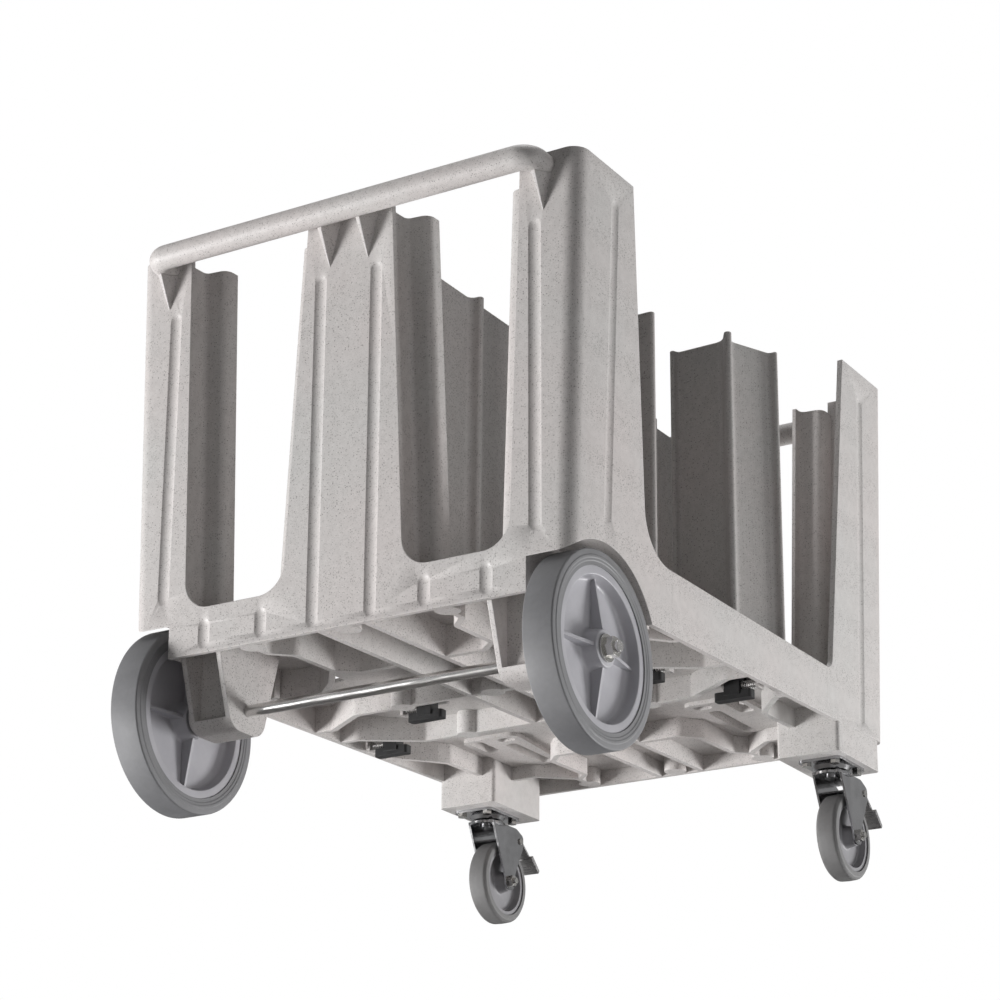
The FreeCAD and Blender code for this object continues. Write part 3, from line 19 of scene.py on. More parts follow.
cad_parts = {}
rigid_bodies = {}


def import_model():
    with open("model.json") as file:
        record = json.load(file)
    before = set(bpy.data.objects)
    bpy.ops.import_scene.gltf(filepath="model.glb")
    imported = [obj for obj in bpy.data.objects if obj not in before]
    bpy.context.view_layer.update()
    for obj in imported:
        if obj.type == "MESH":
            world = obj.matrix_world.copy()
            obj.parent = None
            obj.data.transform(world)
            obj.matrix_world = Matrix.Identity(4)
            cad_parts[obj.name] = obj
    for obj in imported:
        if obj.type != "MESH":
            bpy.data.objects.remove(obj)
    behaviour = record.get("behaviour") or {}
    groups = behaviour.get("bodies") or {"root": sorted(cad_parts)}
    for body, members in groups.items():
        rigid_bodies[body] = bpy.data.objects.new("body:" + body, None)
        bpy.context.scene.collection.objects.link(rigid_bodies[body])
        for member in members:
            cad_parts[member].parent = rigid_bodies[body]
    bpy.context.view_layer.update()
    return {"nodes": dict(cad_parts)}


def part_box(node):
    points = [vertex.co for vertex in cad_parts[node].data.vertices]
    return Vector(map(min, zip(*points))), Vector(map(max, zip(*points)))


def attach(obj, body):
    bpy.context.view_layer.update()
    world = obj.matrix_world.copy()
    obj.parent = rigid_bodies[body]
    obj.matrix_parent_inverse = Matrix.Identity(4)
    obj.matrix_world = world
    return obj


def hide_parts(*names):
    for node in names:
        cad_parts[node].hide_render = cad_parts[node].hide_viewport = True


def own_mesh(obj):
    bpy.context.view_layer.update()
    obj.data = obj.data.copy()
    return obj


LOG = logging.getLogger("cart")
MM = 0.001
ALONG_X = Vector((1.0, 0.0, 0.0))
SOLID_WELD = 0.01 * MM
PIECE_WELD = 0.001 * MM
SOLID_CREASE = math.radians(31.0)
PIECE_CREASE = math.radians(32.0)

Colour = tuple[float, float, float]
Triple = tuple[float, float, float]
Pair = tuple[float, float]

WHITE: Colour = (1.0, 1.0, 1.0)
WHOLE: Pair = (0.0, 1.0)
# A noise keeps most of its values between these two.
NOISE_SPAN: Pair = (0.3, 0.7)


class Slot(Enum):
    """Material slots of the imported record."""

    TUB = "tub_plastic"
    TOWER = "tower_plastic"
    LATCH = "latch_plastic"
    SPRING = "spring_steel"
    AXLE = "axle_steel"
    HUB = "hub_steel"
    CORE = "wheel_core"
    TYRE = "wheel_rubber"
    CASTER_CORE = "caster_core"
    CASTER_TYRE = "caster_rubber"
    CASTER = "caster_steel"
    PEDAL = "pedal_steel"


class Side(Enum):
    """The two long sides of the cart, by the sign of X."""

    LEFT = -1
    RIGHT = 1

    @property
    def tag(self) -> str:
        """Ending of the node and body names on this side."""
        return self.name.lower()


def linear(red: int, green: int, blue: int) -> Colour:
    """Turns a display colour into scene linear values.

    Args:
        red: Red from 0 to 255.
        green: Green from 0 to 255.
        blue: Blue from 0 to 255.

    Returns:
        The three linear values.
    """
    parts = []
    for value in (red, green, blue):
        share = value / 255.0
        parts.append(share / 12.92 if share <= 0.04045 else ((share + 0.055) / 1.055) ** 2.4)
    return (parts[0], parts[1], parts[2])


# ---------------------------------------------------------------- node trees

class Tree:
    """A small wrapper that adds and joins shader nodes."""

    def __init__(self, tree: bpy.types.NodeTree) -> None:
        """Keeps the tree that is built.

        Args:
            tree: Node tree of a material, a world or a group.
        """
        self.tree = tree

    def add(self, kind: str, **settings: object) -> bpy.types.Node:
        """Adds one node.

        Args:
            kind: Type name of the node.
            settings: Attributes of the node, or values of its named inputs.

        Returns:
            The new node.
        """
        node = self.tree.nodes.new(kind)
        for name, value in settings.items():
            if hasattr(node, name):
                setattr(node, name, value)
            else:
                node.inputs[name.replace("_", " ")].default_value = value
        return node

    def join(self, source: bpy.types.NodeSocket, target: bpy.types.NodeSocket) -> None:
        """Links an output socket to an input socket."""
        self.tree.links.new(source, target)

    def maths(
        self, operation: str, first: object, second: object, clamp: bool = False,
    ) -> bpy.types.NodeSocket:
        """Adds a Math node.

        Args:
            operation: Name of the operation.
            first: First value or socket.
            second: Second value or socket.
            clamp: Whether the result stays between 0 and 1.

        Returns:
            The result's socket.
        """
        node = self.add("ShaderNodeMath", operation=operation, use_clamp=clamp)
        for socket, value in zip(node.inputs, (first, second)):
            if isinstance(value, bpy.types.NodeSocket):
                self.join(value, socket)
            else:
                socket.default_value = value
        return node.outputs[0]

    def span(self, value: bpy.types.NodeSocket, source: Pair, target: Pair) -> bpy.types.NodeSocket:
        """Maps a value from one span to another, held at its ends.

        Args:
            value: Socket of the value.
            source: Span that it comes in.
            target: Span that it leaves in.

        Returns:
            The mapped value's socket.
        """
        node = self.add("ShaderNodeMapRange", clamp=True)
        self.join(value, node.inputs[0])
        for socket, number in zip(list(node.inputs)[1:5], (*source, *target)):
            socket.default_value = number
        return node.outputs[0]

    def blend(self, share: object, first: object, second: object) -> bpy.types.NodeSocket:
        """Mixes two colours.

        Args:
            share: Share of the second colour, a value or a socket.
            first: First colour or socket.
            second: Second colour or socket.

        Returns:
            The mixed colour's socket.
        """
        node = self.add("ShaderNodeMix", data_type="RGBA", blend_type="MIX")
        sockets = (node.inputs[0], node.inputs[6], node.inputs[7])
        for socket, value in zip(sockets, (share, first, second)):
            if isinstance(value, bpy.types.NodeSocket):
                self.join(value, socket)
            elif isinstance(value, tuple):
                socket.default_value = (*value, 1.0)
            else:
                socket.default_value = value
        return node.outputs[2]


class SharedGroup:
    """A shader node group that several finishes use, built once."""

    label = "shared"
    inputs: tuple[tuple[str, str, float], ...] = ()
    outputs: tuple[tuple[str, str], ...] = ()

    def __init__(self) -> None:
        """Makes the group with its named sockets and fills it."""
        self.group = bpy.data.node_groups.new(self.label, "ShaderNodeTree")
        for name, kind, value in self.inputs:
            socket = self.group.interface.new_socket(name, in_out="INPUT", socket_type=kind)
            if kind == "NodeSocketFloat":
                socket.default_value = value
        for name, kind in self.outputs:
            self.group.interface.new_socket(name, in_out="OUTPUT", socket_type=kind)
        tree = Tree(self.group)
        self.fill(tree, tree.add("NodeGroupInput"), tree.add("NodeGroupOutput"))

    def fill(self, tree: Tree, given: bpy.types.Node, made: bpy.types.Node) -> None:
        """Adds the nodes inside the group.

        Args:
            tree: Wrapper of the group's tree.
            given: Group input node.
            made: Group output node.
        """
        raise NotImplementedError

    def place(self, tree: Tree, **values: float) -> bpy.types.Node:
        """Puts the group into a material.

        Args:
            tree: Wrapper of the material's tree.
            values: Values of the group's inputs.

        Returns:
            The group node.
        """
        node = tree.add("ShaderNodeGroup", node_tree=self.group)
        for name, value in values.items():
            node.inputs[name.replace("_", " ")].default_value = value
        return node


class Flecks(SharedGroup):
    """Small round flecks scattered through a moulded plastic."""

    label = "flecks"
    inputs = (
        ("Vector", "NodeSocketVector", 0.0),
        ("Cells", "NodeSocketFloat", 420.0),
        ("Share", "NodeSocketFloat", 0.3),
        ("Radius", "NodeSocketFloat", 0.3),
    )
    outputs = (("Mask", "NodeSocketFloat"),)
    crispness = 2.2
    faintest = 0.35

    def fill(self, tree: Tree, given: bpy.types.Node, made: bpy.types.Node) -> None:
        """Keeps some cells of a cell pattern and draws a soft dot in each.

        Args:
            tree: Wrapper of the group's tree.
            given: Group input node.
            made: Group output node.
        """
        cells = tree.add("ShaderNodeTexVoronoi", feature="F1")
        tree.join(given.outputs["Vector"], cells.inputs["Vector"])
        tree.join(given.outputs["Cells"], cells.inputs["Scale"])
        chance = tree.add("ShaderNodeSeparateColor")
        tree.join(cells.outputs["Color"], chance.inputs[0])
        kept = tree.maths("LESS_THAN", chance.outputs[0], given.outputs["Share"])
        depth = tree.maths("SUBTRACT", given.outputs["Radius"], cells.outputs["Distance"])
        dot = tree.maths("DIVIDE", depth, given.outputs["Radius"], clamp=True)
        soft = tree.maths("MULTIPLY", dot, self.crispness, clamp=True)
        strength = tree.span(chance.outputs[1], WHOLE, (self.faintest, 1.0))
        masked = tree.maths("MULTIPLY", kept, soft)
        tree.join(tree.maths("MULTIPLY", masked, strength), made.inputs["Mask"])


class Mottle(SharedGroup):
    """Slow changes of tone, as a moulding or a handled surface has."""

    label = "mottle"
    inputs = (
        ("Vector", "NodeSocketVector", 0.0),
        ("Broad", "NodeSocketFloat", 6.0),
        ("Fine", "NodeSocketFloat", 60.0),
    )
    outputs = (("Broad Tone", "NodeSocketFloat"), ("Fine Tone", "NodeSocketFloat"))
    detail = 3.0

    def fill(self, tree: Tree, given: bpy.types.Node, made: bpy.types.Node) -> None:
        """Two noises at different sizes, each spread over 0 to 1.

        Args:
            tree: Wrapper of the group's tree.
            given: Group input node.
            made: Group output node.
        """
        for size in ("Broad", "Fine"):
            noise = tree.add("ShaderNodeTexNoise", Detail=self.detail)
            tree.join(given.outputs["Vector"], noise.inputs["Vector"])
            tree.join(given.outputs[size], noise.inputs["Scale"])
            tree.join(tree.span(noise.outputs[0], NOISE_SPAN, WHOLE), made.inputs[f"{size} Tone"])


class SoftEdge(SharedGroup):
    """Rounded corners of a hard solid, as a shading normal and a mask."""

    label = "soft_edge"
    inputs = (("Radius", "NodeSocketFloat", 0.002),)
    outputs = (("Normal", "NodeSocketVector"), ("Edge", "NodeSocketFloat"))
    samples = 4
    bent_cosines = (0.99, 0.75)

    def fill(self, tree: Tree, given: bpy.types.Node, made: bpy.types.Node) -> None:
        """Bends the normal near a corner and masks where it is bent.

        Args:
            tree: Wrapper of the group's tree.
            given: Group input node.
            made: Group output node.
        """
        bevel = tree.add("ShaderNodeBevel", samples=self.samples)
        tree.join(given.outputs["Radius"], bevel.inputs["Radius"])
        surface = tree.add("ShaderNodeNewGeometry")
        along = tree.add("ShaderNodeVectorMath", operation="DOT_PRODUCT")
        tree.join(bevel.outputs[0], along.inputs[0])
        tree.join(surface.outputs["Normal"], along.inputs[1])
        tree.join(bevel.outputs[0], made.inputs["Normal"])
        tree.join(tree.span(along.outputs["Value"], self.bent_cosines, WHOLE), made.inputs["Edge"])


class Dust(SharedGroup):
    """Patches of dust and handling that dull a face."""

    label = "dust"
    inputs = (("Vector", "NodeSocketVector", 0.0), ("Scale", "NodeSocketFloat", 15.0))
    outputs = (("Dust", "NodeSocketFloat"),)
    detail = 5.0
    patches = (0.4, 0.75)

    def fill(self, tree: Tree, given: bpy.types.Node, made: bpy.types.Node) -> None:
        """Keeps the peaks of a noise as soft patches.

        Args:
            tree: Wrapper of the group's tree.
            given: Group input node.
            made: Group output node.
        """
        noise = tree.add("ShaderNodeTexNoise", Detail=self.detail)
        tree.join(given.outputs["Vector"], noise.inputs["Vector"])
        tree.join(given.outputs["Scale"], noise.inputs["Scale"])
        tree.join(tree.span(noise.outputs[0], self.patches, WHOLE), made.inputs["Dust"])


@dataclass
class Groups:
    """The shared node groups, built once for the whole cart."""

    flecks: Flecks = field(default_factory=Flecks)
    mottle: Mottle = field(default_factory=Mottle)
    soft_edge: SoftEdge = field(default_factory=SoftEdge)
    dust: Dust = field(default_factory=Dust)


# ---------------------------------------------------------------- finishes

class Surface:
    """A material while it is made: its tree, its shader and its softened edges."""

    def __init__(self, name: str, groups: Groups, edge_radius: float) -> None:
        """Starts the material.

        Args:
            name: Name of the finish.
            groups: Shared node groups.
            edge_radius: Radius of the softened edges.
        """
        self.material = bpy.data.materials.new(name)
        self.material.use_nodes = True
        self.tree = Tree(self.material.node_tree)
        self.shader = self.material.node_tree.nodes["Principled BSDF"]
        self.coordinates = self.tree.add("ShaderNodeTexCoord").outputs["Object"]
        self.edge = groups.soft_edge.place(self.tree, Radius=edge_radius)

    def spread(self, group: SharedGroup, **values: float) -> bpy.types.Node:
        """Puts a shared group on the piece's own coordinates.

        Args:
            group: Group to place.
            values: Values of the group's inputs.

        Returns:
            The group node.
        """
        node = group.place(self.tree, **values)
        self.tree.join(self.coordinates, node.inputs["Vector"])
        return node

    def noise(
        self, coordinates: bpy.types.NodeSocket, scale: float, detail: float,
    ) -> bpy.types.NodeSocket:
        """Adds a plain noise.

        Args:
            coordinates: Socket of the coordinates.
            scale: Scale of the noise.
            detail: Detail of the noise.

        Returns:
            The noise's socket.
        """
        node = self.tree.add("ShaderNodeTexNoise", Scale=scale, Detail=detail)
        self.tree.join(coordinates, node.inputs["Vector"])
        return node.outputs[0]

    def tint(
        self, mask: bpy.types.NodeSocket, strength: float, base: object, tone: Colour,
    ) -> bpy.types.NodeSocket:
        """Mixes a tone into the base colour under a mask.

        Args:
            mask: Socket of the mask.
            strength: Share of the tone where the mask is full.
            base: Base colour or socket.
            tone: Colour that is mixed in.

        Returns:
            The mixed colour's socket.
        """
        return self.tree.blend(self.tree.maths("MULTIPLY", mask, strength), base, tone)

    def finish(
        self, base: bpy.types.NodeSocket, rough: bpy.types.NodeSocket, height: bpy.types.NodeSocket,
        strength: float, depth: float,
    ) -> bpy.types.Material:
        """Joins colour, roughness and a fine relief over the softened edges to the shader.

        Args:
            base: Socket of the base colour.
            rough: Socket of the roughness.
            height: Socket of the relief's height.
            strength: Strength of the relief.
            depth: Depth of the relief.

        Returns:
            The material.
        """
        self.tree.join(base, self.shader.inputs["Base Color"])
        self.tree.join(rough, self.shader.inputs["Roughness"])
        bump = self.tree.add("ShaderNodeBump", Strength=strength, Distance=depth)
        self.tree.join(height, bump.inputs["Height"])
        self.tree.join(self.edge.outputs["Normal"], bump.inputs["Normal"])
        self.tree.join(bump.outputs[0], self.shader.inputs["Normal"])
        return self.material


@dataclass(frozen=True)
class Speckle:
    """One kind of fleck. Its radius is a share of a cell, and its cells are counted per metre."""

    cells: float
    share: float
    radius: float
    strength: float


@dataclass(frozen=True)
class MouldedPlastic:
    """Speckled moulded plastic with a satin, faintly grained face."""

    name: str
    colour: Colour
    warm: Colour
    fleck: Colour
    light_fleck: Colour
    small: Speckle = Speckle(cells=640.0, share=0.5, radius=0.42, strength=0.5)
    pale: Speckle = Speckle(cells=470.0, share=0.26, radius=0.36, strength=0.55)
    dark: Speckle = Speckle(cells=400.0, share=0.3, radius=0.42, strength=0.8)
    broad_scale: float = 5.0
    fine_scale: float = 90.0
    fine_share: float = 0.12
    roughness: Pair = (0.42, 0.51)
    specular: float = 0.4
    edge_radius: float = 1.6 * MM
    # Share of the painted highlight on the rounded edges.
    edge_light: float = 0.25
    grain_scale: float = 900.0
    grain_detail: float = 2.0
    grain: float = 0.05
    grain_depth: float = 0.4 * MM

    def build(self, groups: Groups) -> bpy.types.Material:
        """Makes the material.

        Args:
            groups: Shared node groups.

        Returns:
            The material.
        """
        surface = Surface(self.name, groups, self.edge_radius)
        mottle = surface.spread(groups.mottle, Broad=self.broad_scale, Fine=self.fine_scale)
        broad = mottle.outputs["Broad Tone"]
        base = surface.tree.blend(broad, self.colour, self.warm)
        base = surface.tint(mottle.outputs["Fine Tone"], self.fine_share, base, self.fleck)
        kinds = ((self.small, self.fleck), (self.pale, self.light_fleck), (self.dark, self.fleck))
        for kind, tone in kinds:
            flecks = surface.spread(
                groups.flecks, Cells=kind.cells, Share=kind.share, Radius=kind.radius,
            )
            base = surface.tint(flecks.outputs["Mask"], kind.strength, base, tone)
        # Painted highlight: the rounded edges are lightened towards the pale fleck colour.
        base = surface.tint(surface.edge.outputs["Edge"], self.edge_light, base, self.light_fleck)
        rough = surface.tree.span(broad, WHOLE, self.roughness)
        surface.shader.inputs["Specular IOR Level"].default_value = self.specular
        height = surface.noise(surface.coordinates, self.grain_scale, self.grain_detail)
        return surface.finish(base, rough, height, self.grain, self.grain_depth)


@dataclass(frozen=True)
class PlainPlastic:
    """Single-coloured hard plastic or rubber with a worn, dusty face.

    The roughness lies lower by the polished share on a clean face and higher by the dulled
    share under dust.
    """

    name: str
    colour: Colour
    dust: Colour
    roughness: float = 0.5
    polished: float = 0.05
    dulled: float = 0.15
    dust_scale: float = 22.5
    dust_share: float = 0.3
    fine_scale: float = 160.0
    fine_share: float = 0.1
    edge_radius: float = 0.8 * MM
    edge_share: float = 0.25
    grain_scale: float = 700.0
    grain_detail: float = 3.0
    grain: float = 0.06
    grain_depth: float = 0.3 * MM

    def build(self, groups: Groups) -> bpy.types.Material:
        """Makes the material.

        Args:
            groups: Shared node groups.

        Returns:
            The material.
        """
        surface = Surface(self.name, groups, self.edge_radius)
        fine = surface.spread(groups.mottle, Fine=self.fine_scale).outputs["Fine Tone"]
        dust = surface.spread(groups.dust, Scale=self.dust_scale).outputs["Dust"]
        base = surface.tint(dust, self.dust_share, self.colour, self.dust)
        base = surface.tint(fine, self.fine_share, base, self.dust)
        base = surface.tint(surface.edge.outputs["Edge"], self.edge_share, base, self.dust)
        between = (self.roughness - self.polished, self.roughness + self.dulled)
        rough = surface.tree.span(dust, WHOLE, between)
        height = surface.noise(surface.coordinates, self.grain_scale, self.grain_detail)
        return surface.finish(base, rough, height, self.grain, self.grain_depth)


@dataclass(frozen=True)
class PlatedSteel:
    """Bright plated steel with brushed streaks and dull spots.

    Along the streaks the roughness is multiplied by the polished to the dulled factor.
    """

    name: str
    colour: Colour
    dull: Colour
    roughness: float = 0.22
    polished: float = 0.7
    dulled: float = 1.5
    spot_scale: float = 35.0
    spot_share: float = 0.35
    streak: Triple = (20.0, 500.0, 500.0)
    streak_detail: float = 3.0
    edge_radius: float = 0.5 * MM
    brushing: float = 0.04
    brush_depth: float = 0.2 * MM

    def build(self, groups: Groups) -> bpy.types.Material:
        """Makes the material.

        Args:
            groups: Shared node groups.

        Returns:
            The material.
        """
        surface = Surface(self.name, groups, self.edge_radius)
        spots = surface.spread(groups.dust, Scale=self.spot_scale).outputs["Dust"]
        base = surface.tint(spots, self.spot_share, self.colour, self.dull)
        stretched = surface.tree.add("ShaderNodeMapping", Scale=self.streak)
        surface.tree.join(surface.coordinates, stretched.inputs["Vector"])
        streaks = surface.noise(stretched.outputs[0], 1.0, self.streak_detail)
        between = (self.roughness * self.polished, self.roughness * self.dulled)
        rough = surface.tree.span(streaks, NOISE_SPAN, between)
        surface.shader.inputs["Metallic"].default_value = 1.0
        return surface.finish(base, rough, streaks, self.brushing, self.brush_depth)


class Finishes:
    """All finishes of the cart, by material slot."""

    def __init__(self) -> None:
        """Builds the node groups and the materials."""
        groups = Groups()
        grey = dict(
            colour=linear(201, 199, 197), warm=linear(205, 199, 197),
            fleck=linear(105, 100, 98), light_fleck=linear(232, 230, 228),
        )
        # Painted shade: the towers get a darker copy of the tub's speckled grey for the shadow they
        # stand in inside the tub.
        painted_shade_grey = dict(
            colour=linear(178, 176, 174), warm=linear(182, 176, 174),
            fleck=linear(90, 86, 84), light_fleck=linear(212, 210, 208),
        )
        black, black_dust = linear(14, 14, 15), linear(58, 58, 60)
        core, core_dust = linear(168, 167, 172), linear(196, 195, 198)
        tyre, tyre_dust = linear(116, 116, 118), linear(150, 150, 152)
        small_core, small_core_dust = linear(128, 127, 130), linear(170, 169, 172)
        small_tyre, small_tyre_dust = linear(108, 107, 107), linear(145, 145, 145)
        recipes = {
            Slot.TUB: MouldedPlastic("speckled_grey", **grey),
            # The towers' finish is the tub's plastic darkened as painted shade.
            Slot.TOWER: MouldedPlastic("speckled_grey_tower", **painted_shade_grey),
            Slot.LATCH: PlainPlastic("black_nylon", black, black_dust, dust_share=0.15),
            Slot.SPRING: PlatedSteel("spring_wire", (0.62, 0.61, 0.60), (0.3, 0.29, 0.28), 0.25),
            Slot.AXLE: PlatedSteel("bright_axle", (0.70, 0.69, 0.68), (0.35, 0.34, 0.33), 0.2),
            Slot.HUB: PlatedSteel("zinc_nut", (0.58, 0.57, 0.55), (0.24, 0.23, 0.21), 0.17),
            Slot.CORE: PlainPlastic("grey_core", core, core_dust, 0.42),
            Slot.TYRE: PlainPlastic("grey_rubber", tyre, tyre_dust, 0.6),
            Slot.CASTER_CORE: PlainPlastic("caster_core_grey", small_core, small_core_dust, 0.45),
            Slot.CASTER_TYRE: PlainPlastic("caster_rubber_grey", small_tyre, small_tyre_dust, 0.6),
            Slot.CASTER: PlatedSteel("chromed_sheet", (0.46, 0.46, 0.47), (0.14, 0.14, 0.14), 0.12),
            Slot.PEDAL: PlatedSteel("pedal_sheet", (0.42, 0.41, 0.41), (0.2, 0.2, 0.2), 0.3),
        }
        self.materials = {slot: recipe.build(groups) for slot, recipe in recipes.items()}

    def dress(self, piece: bpy.types.Object, slot: Slot) -> None:
        """Gives a piece the finish of a slot, in every slot that it has.

        Args:
            piece: Object to dress.
            slot: Material slot of the record.
        """
        if not piece.material_slots:
            piece.data.materials.append(self.materials[slot])
        for held in piece.material_slots:
            held.material = self.materials[slot]


# ---------------------------------------------------------------- shared mesh work

def smooth_group() -> bpy.types.NodeTree:
    """Builds the modifier tree that welds a solid's triangles and smooths its round faces.

    Returns:
        The geometry node group.
    """
    group = bpy.data.node_groups.new("weld_and_smooth", "GeometryNodeTree")
    group.interface.new_socket("Geometry", in_out="INPUT", socket_type="NodeSocketGeometry")
    group.interface.new_socket("Geometry", in_out="OUTPUT", socket_type="NodeSocketGeometry")
    tree = Tree(group)
    weld = tree.add("GeometryNodeMergeByDistance", Distance=SOLID_WELD)
    angle = tree.add("GeometryNodeInputMeshEdgeAngle")
    flat = tree.maths("LESS_THAN", angle.outputs["Unsigned Angle"], SOLID_CREASE)
    faces = tree.add("GeometryNodeSetShadeSmooth", domain="FACE")
    edges = tree.add("GeometryNodeSetShadeSmooth", domain="EDGE")
    tree.join(tree.add("NodeGroupInput").outputs[0], weld.inputs[0])
    tree.join(weld.outputs[0], faces.inputs["Geometry"])
    tree.join(faces.outputs[0], edges.inputs["Geometry"])
    tree.join(flat, edges.inputs["Shade Smooth"])
    tree.join(edges.outputs[0], tree.add("NodeGroupOutput").inputs[0])
    return group


@dataclass
class Workshop:
    """What every sub-assembly needs: the frame's nodes, the finishes and the smoothing modifier."""

    nodes: dict[str, bpy.types.Object]
    finishes: Finishes
    smoothing: bpy.types.NodeTree

    def finish_node(self, name: str, slot: Slot) -> None:
        """Dresses a solid of the frame and smooths its round faces.

        Args:
            name: Name of the CAD node.
            slot: Finish that it gets.
        """
        piece = self.nodes[name]
        self.finishes.dress(piece, slot)
        modifier = piece.modifiers.new("weld_and_smooth", "NODES")
        modifier.node_group = self.smoothing
        LOG.info("solid %s dressed as %s", name, slot.value)

    def new_piece(self, name: str, mesh: bmesh.types.BMesh, body: str, slot: Slot) -> bpy.types.Object:
        """Turns a bmesh into a dressed piece that rides on a body.

        Args:
            name: Name of the piece.
            mesh: Finished bmesh, which is freed.
            body: CAD body that carries it.
            slot: Finish that it gets.

        Returns:
            The new object.
        """
        bmesh.ops.remove_doubles(mesh, verts=mesh.verts, dist=PIECE_WELD)
        bmesh.ops.recalc_face_normals(mesh, faces=mesh.faces)
        for face in mesh.faces:
            face.smooth = True
        for edge in mesh.edges:
            if len(edge.link_faces) == 2 and edge.calc_face_angle() > PIECE_CREASE:
                edge.smooth = False
        data = bpy.data.meshes.new(name)
        mesh.to_mesh(data)
        mesh.free()
        piece = bpy.data.objects.new(name, data)
        bpy.context.scene.collection.objects.link(piece)
        self.finishes.dress(piece, slot)
        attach(piece, body)
        LOG.info("piece %s made, rides on %s", name, body)
        return piece


def turned_ring(profile: list[Pair], axis_point: Vector, steps: int) -> bmesh.types.BMesh:
    """Spins a closed profile about an axis along X.

    Args:
        profile: Corners of the profile as distance along X and radius, in metres.
        axis_point: Point on the axis.
        steps: Steps of the full turn.

    Returns:
        The closed ring.
    """
    mesh = bmesh.new()
    corners = [mesh.verts.new(axis_point + Vector((along, 0.0, radius))) for along, radius in profile]
    edges = [mesh.edges.new((corners[index - 1], corners[index])) for index in range(len(corners))]
    bmesh.ops.spin(
        mesh, geom=corners + edges, cent=axis_point, axis=ALONG_X, angle=math.tau, steps=steps,
        use_merge=True, use_duplicate=False,
    )
    return mesh


def rounded_profile(corners: list[Pair], radii: list[float], steps: int = 4) -> list[Pair]:
    """Rounds the corners of a profile through a bevel of a flat face.

    Args:
        corners: Corners as distance along X and radius.
        radii: Bevel width at each corner, 0 where it stays sharp.
        steps: Segments of each rounding.

    Returns:
        Corners of the rounded profile, in order.
    """
    mesh = bmesh.new()
    points = [mesh.verts.new((along, 0.0, radius)) for along, radius in corners]
    mesh.faces.new(points)
    for point, width in zip(points, radii):
        if width > 0.0:
            bmesh.ops.bevel(
                mesh, geom=[point], offset=width, offset_type="OFFSET", affect="VERTICES",
                segments=steps, profile=0.5, material=-1,
            )
    outline = [(point.co.x, point.co.z) for point in next(iter(mesh.faces)).verts]
    mesh.free()
    return outline


def mirrored_profile(half: list[Pair], radii: tuple[float, ...]) -> list[Pair]:
    """Mirrors one half of a profile at X = 0 and rounds the corners of both halves.

    Args:
        half: Corners of the half on +X, from the bore outwards.
        radii: Bevel width at each of them.

    Returns:
        Corners of the whole rounded profile, in order.
    """
    other = [(-along, radius) for along, radius in reversed(half)]
    return rounded_profile(half + other, [*radii, *reversed(radii)])


# ---------------------------------------------------------------- sub-assemblies

@dataclass
class Tub:
    """The moulded tub: its walls, handles, deck, ribs, housings, legs, blocks and middle posts."""

    shop: Workshop
    parts: tuple[str, ...] = (
        "rear_wall", "rear_handle", "front_wall", "front_handle", "deck", "rib_grid",
        "centre_post_rear", "centre_post_front",
    )
    sided: tuple[str, ...] = ("side_wall", "wheel_housing", "axle_leg", "caster_block")

    def build(self) -> None:
        """Dresses every solid of the tub."""
        for name in self.parts:
            self.shop.finish_node(name, Slot.TUB)
        for name in self.sided:
            for side in Side:
                self.shop.finish_node(f"{name}_{side.tag}", Slot.TUB)


@dataclass
class PlateTower:
    """One sliding tower with its keeper, its spring latch and the coil spring.

    The keeper's lug stands on the lug side of the latch. The pitch of the closed end curls
    is counted in radii of the wire.
    """

    shop: Workshop
    letter: str
    lug_side: Side
    wire: float = 0.8 * MM
    wire_sides: int = 10
    mean_radius: float = 5.5 * MM
    curls: int = 8
    turn_steps: int = 28
    closed_pitch: float = 2.05

    def build(self) -> None:
        """Dresses the solids and winds the spring."""
        self.shop.finish_node(f"tower_{self.letter}_post", Slot.TOWER)
        self.shop.finish_node(f"tower_{self.letter}_keeper", Slot.TOWER)
        self.shop.finish_node(f"tower_{self.letter}_latch", Slot.LATCH)
        self.wind_spring()

    def wind_spring(self) -> None:
        """Winds the latch spring as one wire between the latch and the keeper's lug."""
        low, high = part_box(f"tower_{self.letter}_spring")
        outward = self.lug_side.value
        latch_end, lug_end = (low.x, high.x) if outward > 0 else (high.x, low.x)
        axis = Vector((0.0, (low.y + high.y) / 2.0, (low.z + high.z) / 2.0))
        start = Vector((latch_end + outward * self.wire, axis.y, axis.z))
        reach = (lug_end - latch_end) - outward * 2.0 * self.wire
        closed = outward * self.closed_pitch * self.wire
        pitch = (reach - 2.0 * closed) / (self.curls - 2)
        mesh = bmesh.new()
        circle = bmesh.ops.create_circle(
            mesh, segments=self.wire_sides, radius=self.wire, cap_ends=False,
        )["verts"]
        quarter = Matrix.Rotation(math.pi / 2.0, 3, "X")
        bmesh.ops.rotate(mesh, verts=circle, cent=Vector(), matrix=quarter)
        bmesh.ops.translate(mesh, verts=circle, vec=start + Vector((0.0, 0.0, self.mean_radius)))
        first_loop = list(mesh.edges)
        moving: list[bmesh.types.BMVert | bmesh.types.BMEdge] = list(mesh.verts) + first_loop
        for advance, turns in ((closed, 1), (pitch, self.curls - 2), (closed, 1)):
            result = bmesh.ops.spin(
                mesh, geom=moving, cent=start, axis=ALONG_X, angle=math.tau * turns,
                dvec=Vector((advance / self.turn_steps, 0.0, 0.0)), steps=self.turn_steps * turns,
                use_merge=False, use_duplicate=False,
            )
            moving = result["geom_last"]
        last_loop = [item for item in moving if isinstance(item, bmesh.types.BMEdge)]
        for loop in (first_loop, last_loop):
            bmesh.ops.holes_fill(mesh, edges=loop, sides=0)
        tower = f"tower_{self.letter}"
        spring = self.shop.new_piece(f"latch_coil_{self.letter}", mesh, tower, Slot.SPRING)
        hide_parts(f"tower_{self.letter}_spring")
        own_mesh(spring)


